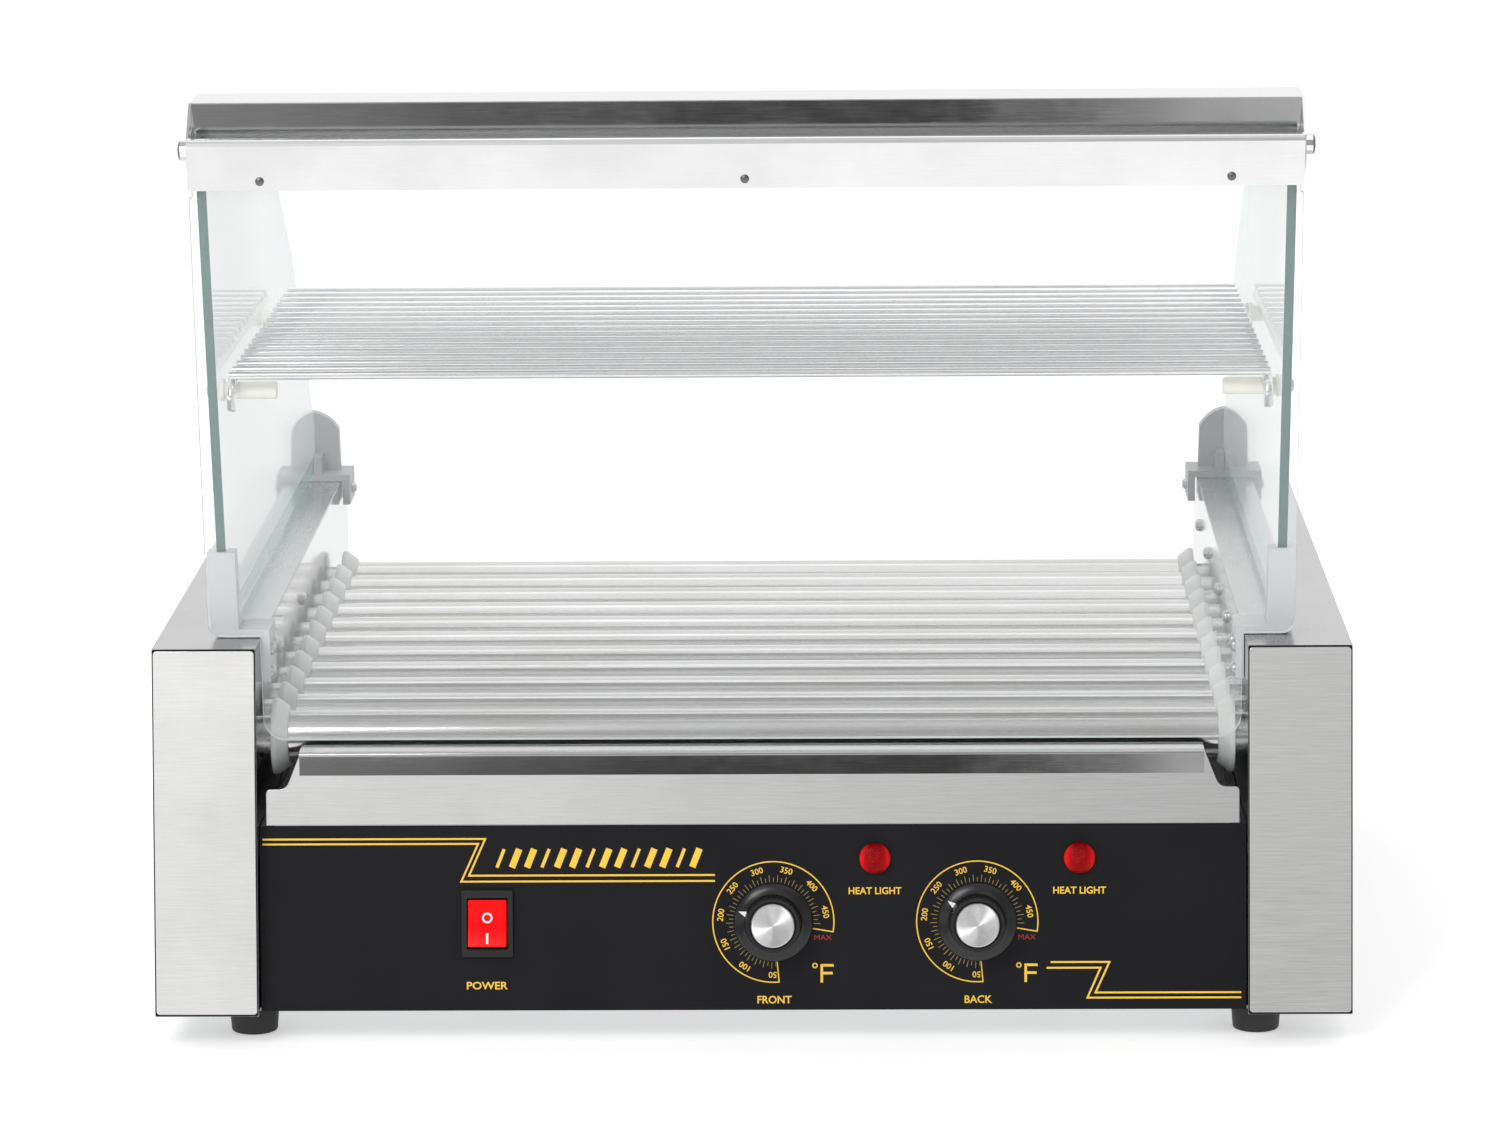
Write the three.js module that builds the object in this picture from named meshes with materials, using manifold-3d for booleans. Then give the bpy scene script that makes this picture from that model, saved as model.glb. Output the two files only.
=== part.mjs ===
// Counter-top roller grill: eleven driven, heated rollers between two side housings,
// with a drip tray, a control panel, and a lift-off glass hood that holds a bun rack.
// Millimetres, +Z up, +Y to the back. Inside this file y = 0 is the housings' front plane;
// the outer group moves everything so that the origin is under the middle of the whole.
import * as THREE from "three";
import { mergeVertices } from "three/addons/utils/BufferGeometryUtils.js";
import Module from "manifold-3d";

const wasm = await Module();
wasm.setup();

// ---- driving dimensions ----
const halfWidth = 290;
const housingWidth = 50.3;
const depth = 495;
const footHeight = 16;
const footX = 245.5;
const bodyTop = 193;
const frontSlope = THREE.MathUtils.degToRad(8);
const sheet = 1.2;
const wallSheet = 1.5;
const gap = 0.3;

const rollerCount = 11;
const rollerPitch = 38;
const firstRollerY = 33;
const rollerZ = 142.4;
const rollerRadius = 12.7;
const boreRadius = 10;
const journalRadius = 7;
const journalBore = 4.8;
const collarRadius = 18.75;
const collarChamfer = 4.1;
const collarChamferWidth = 5.6;
const collarInnerX = 227;
const collarOuterX = 235;
const journalEndX = 250;
const bossRadius = 10;

const chainPitch = 6.35;
const rollerTeeth = 15;
const motorTeeth = 20;
const toothHeight = 1.5;
const chainInnerX = 244.5;
const chainWidth = 3;
const chainThickness = 2.6;
const chainClearance = 0.7;
const motorY = 200;
const motorZ = 63;
const motorShaftRadius = 4;

// Places on the sloping front: y is the depth behind the housings' front faces,
// z is measured up the slope from the housings' top edge.
const panelFrontY = 8.6;
const panelBottom = -177.2;
const panelTop = -87.2;
const knobZ = -134.3;
const knobXs = { front: 10.1, back: 109 };
const lightXs = { front: 59.5, back: 158.6 };
const lightZ = -103.3;
const switchX = -128.8;
const switchZ = -134.6;
const rockerTilt = 7;

const shelfTop = bodyTop - 88;
const trayTop = bodyTop - 48.4;
const panTop = bodyTop - 74;
const lipReach = 15.6;
const lipHeight = 11.3;

const glassInnerX = 254.9;
const glassThickness = 4.7;
const glassBottom = bodyTop + 4.3;
const glassFrontY = 30;
const glassRearY = 470;
const frontLean = 0.234;
const coverTop = bodyTop + 266.2;
const coverFrontY = -11;
const coverRidgeY = 29;
const coverRearY = 200;
const coverRearZ = bodyTop + 242.7;
const coverHalfWidth = 263.6;

const doorLean = THREE.MathUtils.degToRad(8);
const doorY = -2.5;
const doorThickness = 3;
const doorPivotY = -18;
const doorPivotZ = bodyTop + 244.6;
const railBottom = 230;
const railTop = 254;

const rackZ = bodyTop + 133;
const rackHalfWidth = 248.5;
const rackRodCount = 17;
const rackRodPitch = 17.5;
const rackFrontY = 5;
const pinRadius = 4.2;
const pinLength = 27;
const pinZ = bodyTop + 124;

const frontOverhang = 38.99;

// ---- derived places ----
const innerWallX = halfWidth - housingWidth;
const glassOuterX = glassInnerX + glassThickness;
const frontY = (z, inset = 0) => (z - bodyTop) * Math.tan(frontSlope) + inset / Math.cos(frontSlope);
const rollerYs = Array.from({ length: rollerCount }, (_, i) => firstRollerY + i * rollerPitch);
const sprocketRadius = (teeth) => chainPitch / (2 * Math.sin(Math.PI / teeth)) + toothHeight / 2;

const materials = {
  brushed: new THREE.MeshStandardMaterial({ color: 0xc9cacb, roughness: 0.35, metalness: 1 }),
  galvanised: new THREE.MeshStandardMaterial({ color: 0x9fa3a6, roughness: 0.5, metalness: 1 }),
  polished: new THREE.MeshStandardMaterial({ color: 0xd8d9da, roughness: 0.15, metalness: 1 }),
  chrome: new THREE.MeshStandardMaterial({ color: 0xe2e3e4, roughness: 0.08, metalness: 1 }),
  darkSteel: new THREE.MeshStandardMaterial({ color: 0x55585a, roughness: 0.45, metalness: 1 }),
  blackPanel: new THREE.MeshStandardMaterial({ color: 0x202022, roughness: 0.45, metalness: 0 }),
  blackPlastic: new THREE.MeshStandardMaterial({ color: 0x17171a, roughness: 0.4, metalness: 0 }),
  greyPlastic: new THREE.MeshStandardMaterial({ color: 0xc2c3c5, roughness: 0.55, metalness: 0 }),
  whitePlastic: new THREE.MeshStandardMaterial({ color: 0xf0efe8, roughness: 0.5, metalness: 0 }),
  redPlastic: new THREE.MeshStandardMaterial({ color: 0xe01616, roughness: 0.3, metalness: 0 }),
  rubber: new THREE.MeshStandardMaterial({ color: 0x1a1a1a, roughness: 0.85, metalness: 0 }),
  glass: new THREE.MeshStandardMaterial({
    color: 0xcfe3e0, roughness: 0.05, metalness: 0, transparent: true, opacity: 0.35,
  }),
  clear: new THREE.MeshStandardMaterial({
    color: 0xf2f5f5, roughness: 0.05, metalness: 0, transparent: true, opacity: 0.3,
  }),
};

// ---- solid helpers ----

/** Turn a closed three.js geometry into a solid that can be joined and cut. */
function solid(geometry) {
  geometry.deleteAttribute("normal");
  geometry.deleteAttribute("uv");
  const merged = mergeVertices(geometry, 1e-4);
  const index = merged.index.array;
  const triangles = [];
  for (let i = 0; i < index.length; i += 3) {
    const [a, b, c] = index.slice(i, i + 3);
    if (a !== b && b !== c && c !== a) triangles.push(a, b, c);
  }
  return new wasm.Manifold(new wasm.Mesh({
    numProp: 3,
    vertProperties: new Float32Array(merged.attributes.position.array),
    triVerts: new Uint32Array(triangles),
  }));
}

function join(...solids) {
  return solids.reduce((whole, next) => whole.add(next));
}

function cut(whole, ...tools) {
  return tools.reduce((rest, tool) => rest.subtract(tool), whole);
}

function slab(xs, ys, zs) {
  const low = [xs, ys, zs].map((range) => Math.min(...range));
  const high = [xs, ys, zs].map((range) => Math.max(...range));
  const geometry = new THREE.BoxGeometry(...high.map((value, i) => value - low[i]));
  return solid(geometry.translate(...high.map((value, i) => (value + low[i]) / 2)));
}

function outline(points) {
  return new THREE.Shape(points.map(([u, v]) => new THREE.Vector2(u, v)));
}

function circle(u, v, radius) {
  return new THREE.Shape().absarc(u, v, radius, 0, 2 * Math.PI, false);
}

/** Extrude a (y, z) shape along X between two places. */
function prismX(shape, xs, curveSegments = 6) {
  const [from, to] = [Math.min(...xs), Math.max(...xs)];
  const options = { depth: to - from, bevelEnabled: false, curveSegments };
  const turn = new THREE.Matrix4().set(0, 0, 1, from, 1, 0, 0, 0, 0, 1, 0, 0, 0, 0, 0, 1);
  return solid(new THREE.ExtrudeGeometry(shape, options).applyMatrix4(turn));
}

/** Extrude an (x, z) shape along Y between two places. */
function prismY(shape, ys, curveSegments = 6) {
  const [from, to] = [Math.min(...ys), Math.max(...ys)];
  const options = { depth: to - from, bevelEnabled: false, curveSegments };
  const turn = new THREE.Matrix4().set(1, 0, 0, 0, 0, 0, -1, to, 0, 1, 0, 0, 0, 0, 0, 1);
  return solid(new THREE.ExtrudeGeometry(shape, options).applyMatrix4(turn));
}

/** Turn a profile of (radius, place along the axis) about X, Y or Z through a centre. */
function turned(profile, axis, centre, segments = 12) {
  const points = profile.map(([r, along]) => new THREE.Vector2(r, along));
  const geometry = new THREE.LatheGeometry(points, segments);
  if (axis === "x") geometry.rotateZ(-Math.PI / 2);
  if (axis === "z") geometry.rotateX(Math.PI / 2);
  return solid(geometry.translate(...centre));
}

function rod(from, to, radius, segments = 8) {
  const start = new THREE.Vector3(...from);
  const along = new THREE.Vector3(...to).sub(start);
  const geometry = new THREE.CylinderGeometry(radius, radius, along.length(), segments);
  const turn = new THREE.Quaternion().setFromUnitVectors(
    new THREE.Vector3(0, 1, 0), along.clone().normalize());
  geometry.applyQuaternion(turn);
  return solid(geometry.translate(...start.addScaledVector(along, 0.5).toArray()));
}

/** Lay a solid drawn in the places of the sloping front onto that front. */
function ontoFront(shape) {
  return shape.rotate([-THREE.MathUtils.radToDeg(frontSlope), 0, 0]).translate([0, 0, bodyTop]);
}

// ---- scene graph ----
const grill = new THREE.Group();
const centred = new THREE.Group();
centred.position.y = -(depth - frontOverhang) / 2;
grill.add(centred);
const controlFrame = new THREE.Group();
controlFrame.position.z = bodyTop;
controlFrame.rotation.x = -frontSlope;
centred.add(controlFrame);
const doorFrame = new THREE.Group();
doorFrame.position.set(0, doorY, bodyTop);
doorFrame.rotation.x = doorLean;
centred.add(doorFrame);

function piece(name, shape, material, parent = centred) {
  const { vertProperties, triVerts } = shape.getMesh();
  const geometry = new THREE.BufferGeometry();
  geometry.setAttribute("position", new THREE.BufferAttribute(vertProperties, 3));
  geometry.setIndex(new THREE.BufferAttribute(triVerts, 1));
  geometry.computeVertexNormals();
  const mesh = new THREE.Mesh(geometry, materials[material]);
  mesh.name = name;
  parent.add(mesh);
}

// ---- chassis and housings ----
function baseChassis() {
  const plateTop = footHeight + wallSheet;
  const front = frontY(plateTop, panelFrontY + wallSheet) + gap;
  const floorPlate = slab([-288.5, 288.5], [front, depth - wallSheet], [footHeight, plateTop]);
  const rearWall = slab([-239.4, 239.4], [480, 480 + sheet], [footHeight, bodyTop - 55]);
  return join(floorPlate, rearWall);
}

function housingSection(bottom, top, inset) {
  const back = depth - inset;
  return outline([[frontY(bottom, inset), bottom], [back, bottom], [back, top], [frontY(top, inset), top]]);
}

function sideCover(side) {
  const outer = housingSection(footHeight, bodyTop, 0);
  const inside = housingSection(footHeight - 1, bodyTop - sheet, sheet);
  return cut(prismX(outer, [side * innerWallX, side * halfWidth]),
    prismX(inside, [side * (innerWallX - 1), side * (halfWidth - sheet)]));
}

function bearingWall(side) {
  const section = housingSection(footHeight + wallSheet + gap, bodyTop - sheet - gap, sheet + gap);
  const plate = prismX(section, [side * innerWallX, side * (innerWallX + wallSheet)]);
  const bosses = rollerYs.map((y) =>
    prismX(circle(y, rollerZ, bossRadius), [side * (collarOuterX + gap), side * (innerWallX + 0.5)]));
  const holes = rollerYs.map((y) =>
    prismX(circle(y, rollerZ, journalRadius + 0.5), [side * 230, side * 245]));
  return cut(join(plate, ...bosses), ...holes);
}

function trayShelf() {
  const ys = [frontY(shelfTop, panelFrontY + wallSheet) + gap, 480 - gap];
  const deck = slab([-239.4, 239.4], ys, [shelfTop - sheet, shelfTop]);
  const flanges = [-1, 1].map((side) => slab([side * 239.4, side * 238.2], ys, [shelfTop - 15, shelfTop]));
  return join(deck, ...flanges);
}

function controlPanel() {
  const face = outline([[-239.3, panelBottom], [239.3, panelBottom], [239.3, panelTop], [-239.3, panelTop]]);
  for (const x of Object.values(knobXs)) face.holes.push(circle(x, knobZ, 4.5));
  for (const x of Object.values(lightXs)) face.holes.push(circle(x, lightZ, 6.8));
  const [w, h] = [11.3, 14.6];
  face.holes.push(outline([[-w, -h], [w, -h], [w, h], [-w, h]].map(([x, z]) => [switchX + x, switchZ + z])));
  return prismY(face, [panelFrontY, panelFrontY + wallSheet]);
}

function foot(x, y) {
  const top = footHeight - gap;
  return turned([[0, 0], [10.6, 0], [11.25, 0.8], [12.75, top - 1], [12.2, top], [0, top]], "z", [x, y, 0]);
}

piece("base_chassis", baseChassis(), "galvanised");
piece("tray_shelf", trayShelf(), "galvanised");
piece("control_panel", controlPanel(), "blackPanel", controlFrame);
for (const [name, side] of [["left", -1], ["right", 1]]) {
  piece(`${name}_side_cover`, sideCover(side), "brushed");
  piece(`${name}_bearing_wall`, bearingWall(side), "brushed");
  piece(`front_${name}_foot`, foot(side * footX, 10), "rubber");
  piece(`rear_${name}_foot`, foot(side * footX, 453), "rubber");
}

// ---- rollers and their chain drive ----
function roller(y) {
  const rightHalf = [
    [rollerRadius, collarInnerX],
    [collarRadius - collarChamfer, collarInnerX],
    [collarRadius, collarInnerX + collarChamferWidth],
    [collarRadius, collarOuterX],
    [journalRadius, collarOuterX],
    [journalRadius, journalEndX],
    [journalBore, journalEndX],
    [journalBore, collarInnerX],
    [boreRadius, collarInnerX],
  ];
  const leftHalf = rightHalf.map(([r, x]) => [r, -x]).reverse();
  return turned([...leftHalf, ...rightHalf, leftHalf[0]], "x", [0, y, rollerZ]);
}

function sprocketOutline(y, z, teeth) {
  const tip = sprocketRadius(teeth);
  const points = [];
  for (let i = 0; i < teeth; i += 1) {
    for (const [share, r] of [[0, tip - 2 * toothHeight], [0.5, tip]]) {
      const angle = ((i + share) * 2 * Math.PI) / teeth;
      points.push([y + r * Math.cos(angle), z + r * Math.sin(angle)]);
    }
  }
  return outline(points);
}

function rollerSprocket(y) {
  const shape = sprocketOutline(y, rollerZ, rollerTeeth);
  shape.holes.push(circle(y, rollerZ, journalRadius + 2 * gap));
  return prismX(shape, [chainInnerX, chainInnerX + chainWidth]);
}

function motorSprocket() {
  const wheel = prismX(sprocketOutline(motorY, motorZ, motorTeeth), [chainInnerX, chainInnerX + chainWidth]);
  const shaft = rod([chainInnerX + 1, motorY, motorZ], [260, motorY, motorZ], motorShaftRadius, 12);
  return join(wheel, shaft);
}

/** The closed line that wraps round three circles, each [y, z, radius], counter-clockwise. */
function beltLine(circles, swell) {
  const normals = circles.map(([y, z, r], i) => {
    const [nextY, nextZ, nextR] = circles[(i + 1) % circles.length];
    const along = Math.atan2(nextZ - z, nextY - y);
    return along - Math.acos((r - nextR) / Math.hypot(nextY - y, nextZ - z));
  });
  const line = new THREE.Shape();
  circles.forEach(([y, z, r], i) => {
    const arrival = normals[(i + circles.length - 1) % circles.length];
    line.absarc(y, z, r + swell, arrival, normals[i], false);
  });
  return line;
}

function driveChain() {
  const end = sprocketRadius(rollerTeeth) + chainClearance;
  const wheels = [
    [motorY, motorZ, sprocketRadius(motorTeeth) + chainClearance],
    [rollerYs.at(-1), rollerZ, end],
    [rollerYs[0], rollerZ, end],
  ];
  const band = beltLine(wheels, chainThickness);
  band.holes.push(beltLine(wheels, 0));
  return prismX(band, [chainInnerX, chainInnerX + chainWidth]);
}

function gearMotor() {
  const [left, right] = [252, 286];
  const gearbox = slab([left, right], [motorY - 35, motorY + 55], [30, 95]);
  const bracket = slab([left, right], [motorY - 30, motorY - 18], [footHeight + wallSheet + gap, 31]);
  const rearBracket = slab([left, right], [motorY + 38, motorY + 50], [footHeight + wallSheet + gap, 31]);
  const winding = rod([269, motorY + 54, motorZ], [269, motorY + 130, motorZ], 16.5, 16);
  const bore = rod([left - 1, motorY, motorZ], [261, motorY, motorZ], motorShaftRadius + 0.4, 12);
  return cut(join(gearbox, bracket, rearBracket, winding), bore);
}

rollerYs.forEach((y, i) => {
  const number = String(i + 1).padStart(2, "0");
  piece(`roller_${number}`, roller(y), "polished");
  piece(`sprocket_${number}`, rollerSprocket(y), "darkSteel");
});
piece("motor_sprocket", motorSprocket(), "darkSteel");
piece("drive_chain", driveChain(), "darkSteel");
piece("gear_motor", gearMotor(), "darkSteel");

// ---- controls ----
function knob(x) {
  const front = panelFrontY - gap;
  const profile = [
    [0, front + 16], [3, front + 16], [3, front], [19, front], [19, front - 2.6], [15.4, front - 4.4],
    [14.6, front - 15], [13.4, front - 16.4], [10.5, front - 16.4], [10.2, front - 17.4], [0, front - 17.8],
  ];
  return turned(profile.reverse(), "y", [x, 0, knobZ], 16);
}

function thermostat(x) {
  const front = panelFrontY + wallSheet + gap;
  const body = slab([x - 18, x + 18], [front, front + 24], [knobZ - 18, knobZ + 18]);
  return cut(body, rod([x, front - 1, knobZ], [x, front + 16, knobZ], 3.4, 12));
}

function heatLight(x) {
  const front = panelFrontY - gap;
  const profile = [
    [0, front + 18], [6.4, front + 18], [6.4, front], [7.7, front], [7.7, front - 1.6],
    [6.6, front - 3.6], [4.2, front - 5.2], [0, front - 6],
  ];
  return turned(profile.reverse(), "y", [x, 0, lightZ], 14);
}

function rectangle(centreX, centreZ, width, height) {
  const [w, h] = [width / 2, height / 2];
  return outline([[-w, -h], [w, -h], [w, h], [-w, h]].map(([x, z]) => [centreX + x, centreZ + z]));
}

function switchFrame() {
  const bezel = prismY(rectangle(switchX, switchZ, 25, 32.6), [panelFrontY - 2, panelFrontY - gap]);
  const body = prismY(rectangle(switchX, switchZ, 22, 28.6), [panelFrontY - 1, panelFrontY + 22]);
  const pocket = prismY(rectangle(switchX, switchZ, 20.6, 24.8), [panelFrontY - 3, panelFrontY + 11]);
  return cut(join(bezel, body), pocket);
}

function powerRocker() {
  const tilt = THREE.MathUtils.degToRad(rockerTilt);
  const section = [[-2.6, 11.3], [-1, 0], [-2.6, -11.3], [0, -11.6], [6.4, -7], [6.4, 7], [0, 11.6]];
  const tilted = section.map(([y, z]) => [
    panelFrontY - 0.6 + y * Math.cos(tilt) + z * Math.sin(tilt),
    switchZ - y * Math.sin(tilt) + z * Math.cos(tilt),
  ]);
  return prismX(outline(tilted), [switchX - 10, switchX + 10]);
}

for (const [name, x] of Object.entries(knobXs)) {
  piece(`${name}_knob`, knob(x), "blackPlastic", controlFrame);
  piece(`${name}_thermostat`, thermostat(x), "greyPlastic", controlFrame);
}
for (const [name, x] of Object.entries(lightXs)) {
  piece(`${name}_heat_light`, heatLight(x), "redPlastic", controlFrame);
}
piece("switch_frame", switchFrame(), "blackPlastic", controlFrame);
piece("power_rocker", powerRocker(), "redPlastic", controlFrame);

function cableGland() {
  const back = 480 + sheet + gap;
  const profile = [[3.6, back], [11, back], [11, back + 4], [8, back + 4.5], [6.5, back + 12], [3.6, back + 12]];
  return turned([...profile, profile[0]], "y", [190, 0, 45], 12);
}
piece("cable_gland", cableGland(), "blackPlastic");

// ---- drip tray ----
function dripTray() {
  const [low, ledge, top] = [panelTop + 0.6, -69, -47.7];
  const face = new THREE.Shape()
    .moveTo(-236, low)
    .lineTo(236, low)
    .lineTo(236, ledge - 2.2)
    .quadraticCurveTo(236, ledge, 233.8, ledge)
    .lineTo(230, ledge)
    .quadraticCurveTo(226.3, ledge, 224.9, ledge + 3.4)
    .lineTo(218.7, top - 2.4)
    .quadraticCurveTo(217.8, top, 215.2, top)
    .lineTo(-215.2, top)
    .quadraticCurveTo(-217.8, top, -218.7, top - 2.4)
    .lineTo(-224.9, ledge + 3.4)
    .quadraticCurveTo(-226.3, ledge, -230, ledge)
    .lineTo(-233.8, ledge)
    .quadraticCurveTo(-236, ledge, -236, ledge - 2.2);
  const front = ontoFront(prismY(face, [panelFrontY, panelFrontY + sheet], 4));
  const panSection = (bottom, high, inset, back) => outline([
    [frontY(bottom, inset), bottom], [back, bottom], [back, high], [frontY(high, inset), high]]);
  const bottom = shelfTop + 0.8;
  const pan = prismX(panSection(bottom, panTop, panelFrontY + 0.3, 470), [-232, 232]);
  const inside = prismX(panSection(bottom + sheet, panTop + 1, panelFrontY + sheet, 470 - sheet),
    [-232 + sheet, 232 - sheet]);
  const root = frontY(trayTop, panelFrontY + sheet);
  const tip = frontY(trayTop, panelFrontY) - lipReach;
  const lip = new THREE.Shape()
    .moveTo(root, trayTop)
    .lineTo(tip + 2, trayTop)
    .quadraticCurveTo(tip, trayTop, tip, trayTop - 2)
    .lineTo(tip, trayTop - lipHeight)
    .lineTo(tip + sheet, trayTop - lipHeight)
    .lineTo(tip + sheet, trayTop - sheet)
    .lineTo(root, trayTop - sheet);
  return join(front, cut(pan, inside), prismX(lip, [-218, 218], 3));
}
piece("drip_tray", dripTray(), "brushed");

// ---- glass brackets ----
function glassSlot(points) {
  return (side) => prismX(outline(points), [side * (glassInnerX - gap), side * (glassOuterX + gap)]);
}

function frontBracket(side) {
  const base = bodyTop + gap;
  const seat = glassBottom - gap;
  const outer = side * 264;
  const cornerRadius = 7;
  const plate = slab([side * 235.4, outer], [26, 54], [base, seat]);
  const flange = slab([side * 235.4, side * 239.4], [26, 54], [bodyTop - 22, seat]);
  const post = outline([
    [27, base], [27 - 40 * frontLean, bodyTop + 44], [30, bodyTop + 44], [36, bodyTop + 12], [52, seat], [52, base],
  ]);
  const slot = glassSlot([
    [glassFrontY - gap, seat], [glassFrontY - gap - 44 * frontLean, seat + 44], [60, seat + 44], [60, seat],
  ]);
  const corner = new THREE.Shape()
    .moveTo(outer - side * cornerRadius, base)
    .quadraticCurveTo(outer, base, outer, base + cornerRadius)
    .lineTo(outer + side, base + cornerRadius)
    .lineTo(outer + side, base - 1)
    .lineTo(outer - side * cornerRadius, base - 1);
  const whole = join(plate, flange, prismX(post, [side * 250.5, outer]));
  return cut(whole, slot(side), prismY(corner, [20, 60]));
}

function rearBracket(side) {
  const base = bodyTop + gap;
  const seat = glassBottom - gap;
  const [front, back] = [455, 485];
  const glassX = side * (glassInnerX + glassThickness / 2);
  const plate = slab([side * 234.4, side * 275.6], [front, back], [base, seat]);
  const flange = slab([side * 234.4, side * 238.4], [front, back], [bodyTop - 13, seat]);
  const walls = slab([side * 250.3, side * 264.2], [front + 1.5, glassRearY + 2], [base, bodyTop + 14]);
  const dome = new THREE.Shape()
    .moveTo(glassX - 16.4, base)
    .lineTo(glassX + 16.4, base)
    .lineTo(glassX + 15.6, bodyTop + 27)
    .quadraticCurveTo(glassX + 10, bodyTop + 36, glassX, bodyTop + 37)
    .quadraticCurveTo(glassX - 10, bodyTop + 36, glassX - 15.6, bodyTop + 27);
  const stop = prismY(dome, [glassRearY + 1, glassRearY + 9.5], 5);
  const slot = glassSlot([[front - 5, seat], [front - 5, bodyTop + 40], [glassRearY + gap, bodyTop + 40],
    [glassRearY + gap, seat]]);
  return cut(join(plate, flange, walls, stop), slot(side));
}

for (const [name, side] of [["left", -1], ["right", 1]]) {
  piece(`front_${name}_glass_bracket`, frontBracket(side), "greyPlastic");
  piece(`rear_${name}_glass_bracket`, rearBracket(side), "greyPlastic");
}

// ---- glass hood ----
function sideGlass(side) {
  const edge = outline([
    [glassFrontY, glassBottom],
    [glassFrontY - frontLean * (bodyTop + 226 - glassBottom), bodyTop + 226],
    [-2, coverTop - 4], [coverRidgeY, coverTop - 4], [coverRearY - 2, coverRearZ - 4],
    [252, bodyTop + 212], [308, bodyTop + 182], [369, bodyTop + 140], [420, bodyTop + 88],
    [457, bodyTop + 46], [glassRearY, bodyTop + 30], [glassRearY, glassBottom],
  ]);
  return prismX(edge, [side * glassInnerX, side * glassOuterX]);
}

function coverFlange(side) {
  const plate = prismX(outline([
    [coverFrontY, coverTop], [coverFrontY - 15, bodyTop + 250], [coverFrontY - 15, bodyTop + 238],
    [coverFrontY - 8, bodyTop + 232], [8, bodyTop + 240], [coverRearY, bodyTop + 228],
    [coverRearY, coverRearZ], [coverRidgeY, coverTop],
  ]), [side * (coverHalfWidth - sheet), side * coverHalfWidth]);
  const pin = rod([side * 260, doorPivotY, doorPivotZ], [side * 265, doorPivotY, doorPivotZ], 2.6, 12);
  const head = rod([side * (coverHalfWidth - 0.2), doorPivotY, doorPivotZ],
    [side * 267, doorPivotY, doorPivotZ], 5, 12);
  return join(plate, pin, head);
}

function topCover() {
  const roof = prismX(outline([
    [coverFrontY, coverTop], [coverRidgeY, coverTop], [coverRearY, coverRearZ],
    [coverRearY, coverRearZ - sheet], [coverRidgeY, coverTop - sheet], [coverFrontY, coverTop - sheet],
  ]), [-coverHalfWidth, coverHalfWidth]);
  const inside = glassInnerX - 0.5;
  const face = slab([-inside, inside], [coverFrontY, coverFrontY + sheet], [bodyTop + 240, coverTop - 0.5]);
  const hem = slab([-inside, inside], [coverFrontY, coverFrontY + 8], [bodyTop + 240, bodyTop + 240 + sheet]);
  return join(roof, face, hem, coverFlange(-1), coverFlange(1));
}

function rackPin(side, y) {
  const inner = glassInnerX - gap;
  return rod([side * inner, y, pinZ], [side * (inner - pinLength), y, pinZ], pinRadius, 12);
}

piece("top_cover", topCover(), "brushed");
for (const [name, side] of [["left", -1], ["right", 1]]) {
  piece(`${name}_side_glass`, sideGlass(side), "glass");
  piece(`front_${name}_rack_pin`, rackPin(side, 17), "whitePlastic");
  piece(`rear_${name}_rack_pin`, rackPin(side, 250), "whitePlastic");
}

// ---- front door, drawn upright and leaned forward by its group ----
function doorPanel() {
  const [low, shoulder, top] = [-46.9, 6.6, 250];
  const [narrow, wide, underRail] = [236.9, 262, 260.5];
  const half = (side) => [
    [side * (narrow - 11), low], [side * (narrow - 3.2), low + 3.2], [side * narrow, low + 11],
    [side * narrow, shoulder], [side * (wide - 6.5), shoulder], [side * (wide - 1.9), shoulder + 1.9],
    [side * wide, shoulder + 6.5], [side * wide, 226], [side * underRail, 226], [side * underRail, top],
  ];
  return prismY(outline([...half(1), ...half(-1).reverse()]), [0, doorThickness]);
}

function doorRail() {
  const end = 262.1;
  const inset = 0.4;
  const [front, back] = [-gap - sheet, -gap];
  const strip = new THREE.Shape()
    .moveTo(front, railBottom)
    .lineTo(front, railTop - 2.5)
    .quadraticCurveTo(front, railTop, front + 2.5, railTop)
    .lineTo(doorThickness + 1, railTop)
    .lineTo(doorThickness + 1, railTop - sheet)
    .lineTo(back + 1.6, railTop - sheet)
    .quadraticCurveTo(back, railTop - sheet, back, railTop - sheet - 1.6)
    .lineTo(back, railBottom);
  const pivot = new THREE.Vector2(doorPivotY - doorY, doorPivotZ - bodyTop)
    .rotateAround(new THREE.Vector2(), -doorLean);
  const ears = [-1, 1].map((side) => {
    const [low, high, near] = [railBottom + inset, railTop - inset, front + inset];
    const ear = outline([
      [near, low], [doorThickness, low], [pivot.x + 3, pivot.y - 8], [pivot.x + 8, pivot.y - 3],
      [pivot.x + 8, pivot.y + 3], [pivot.x + 3, pivot.y + 8], [near + 3, high], [near, high - 3],
    ]);
    ear.holes.push(circle(pivot.x, pivot.y, 3.2));
    return prismX(ear, [side * (end - inset - sheet), side * (end - inset)]);
  });
  return join(prismX(strip, [-end, end], 3), ...ears);
}

piece("door_panel", doorPanel(), "clear", doorFrame);
piece("door_rail", doorRail(), "brushed", doorFrame);

// ---- bun rack ----
function bunRack() {
  const rearY = rackFrontY + (rackRodCount - 1) * rackRodPitch;
  const sideZ = rackZ - 2;
  const rods = Array.from({ length: rackRodCount }, (_, i) => {
    const y = rackFrontY + i * rackRodPitch;
    return rod([-rackHalfWidth, y, rackZ], [rackHalfWidth, y, rackZ], 2, 6);
  });
  const sides = [-1, 1].flatMap((side) => {
    const x = side * rackHalfWidth;
    return [
      rod([x, 3, sideZ], [x, rearY + 4, sideZ], 2.5, 8),
      rod([x, 3, sideZ + 2], [x, 3, bodyTop + 116], 2.5, 8),
    ];
  });
  return join(...sides, ...rods);
}
piece("bun_rack", bunRack(), "chrome");

export default grill;
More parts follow.
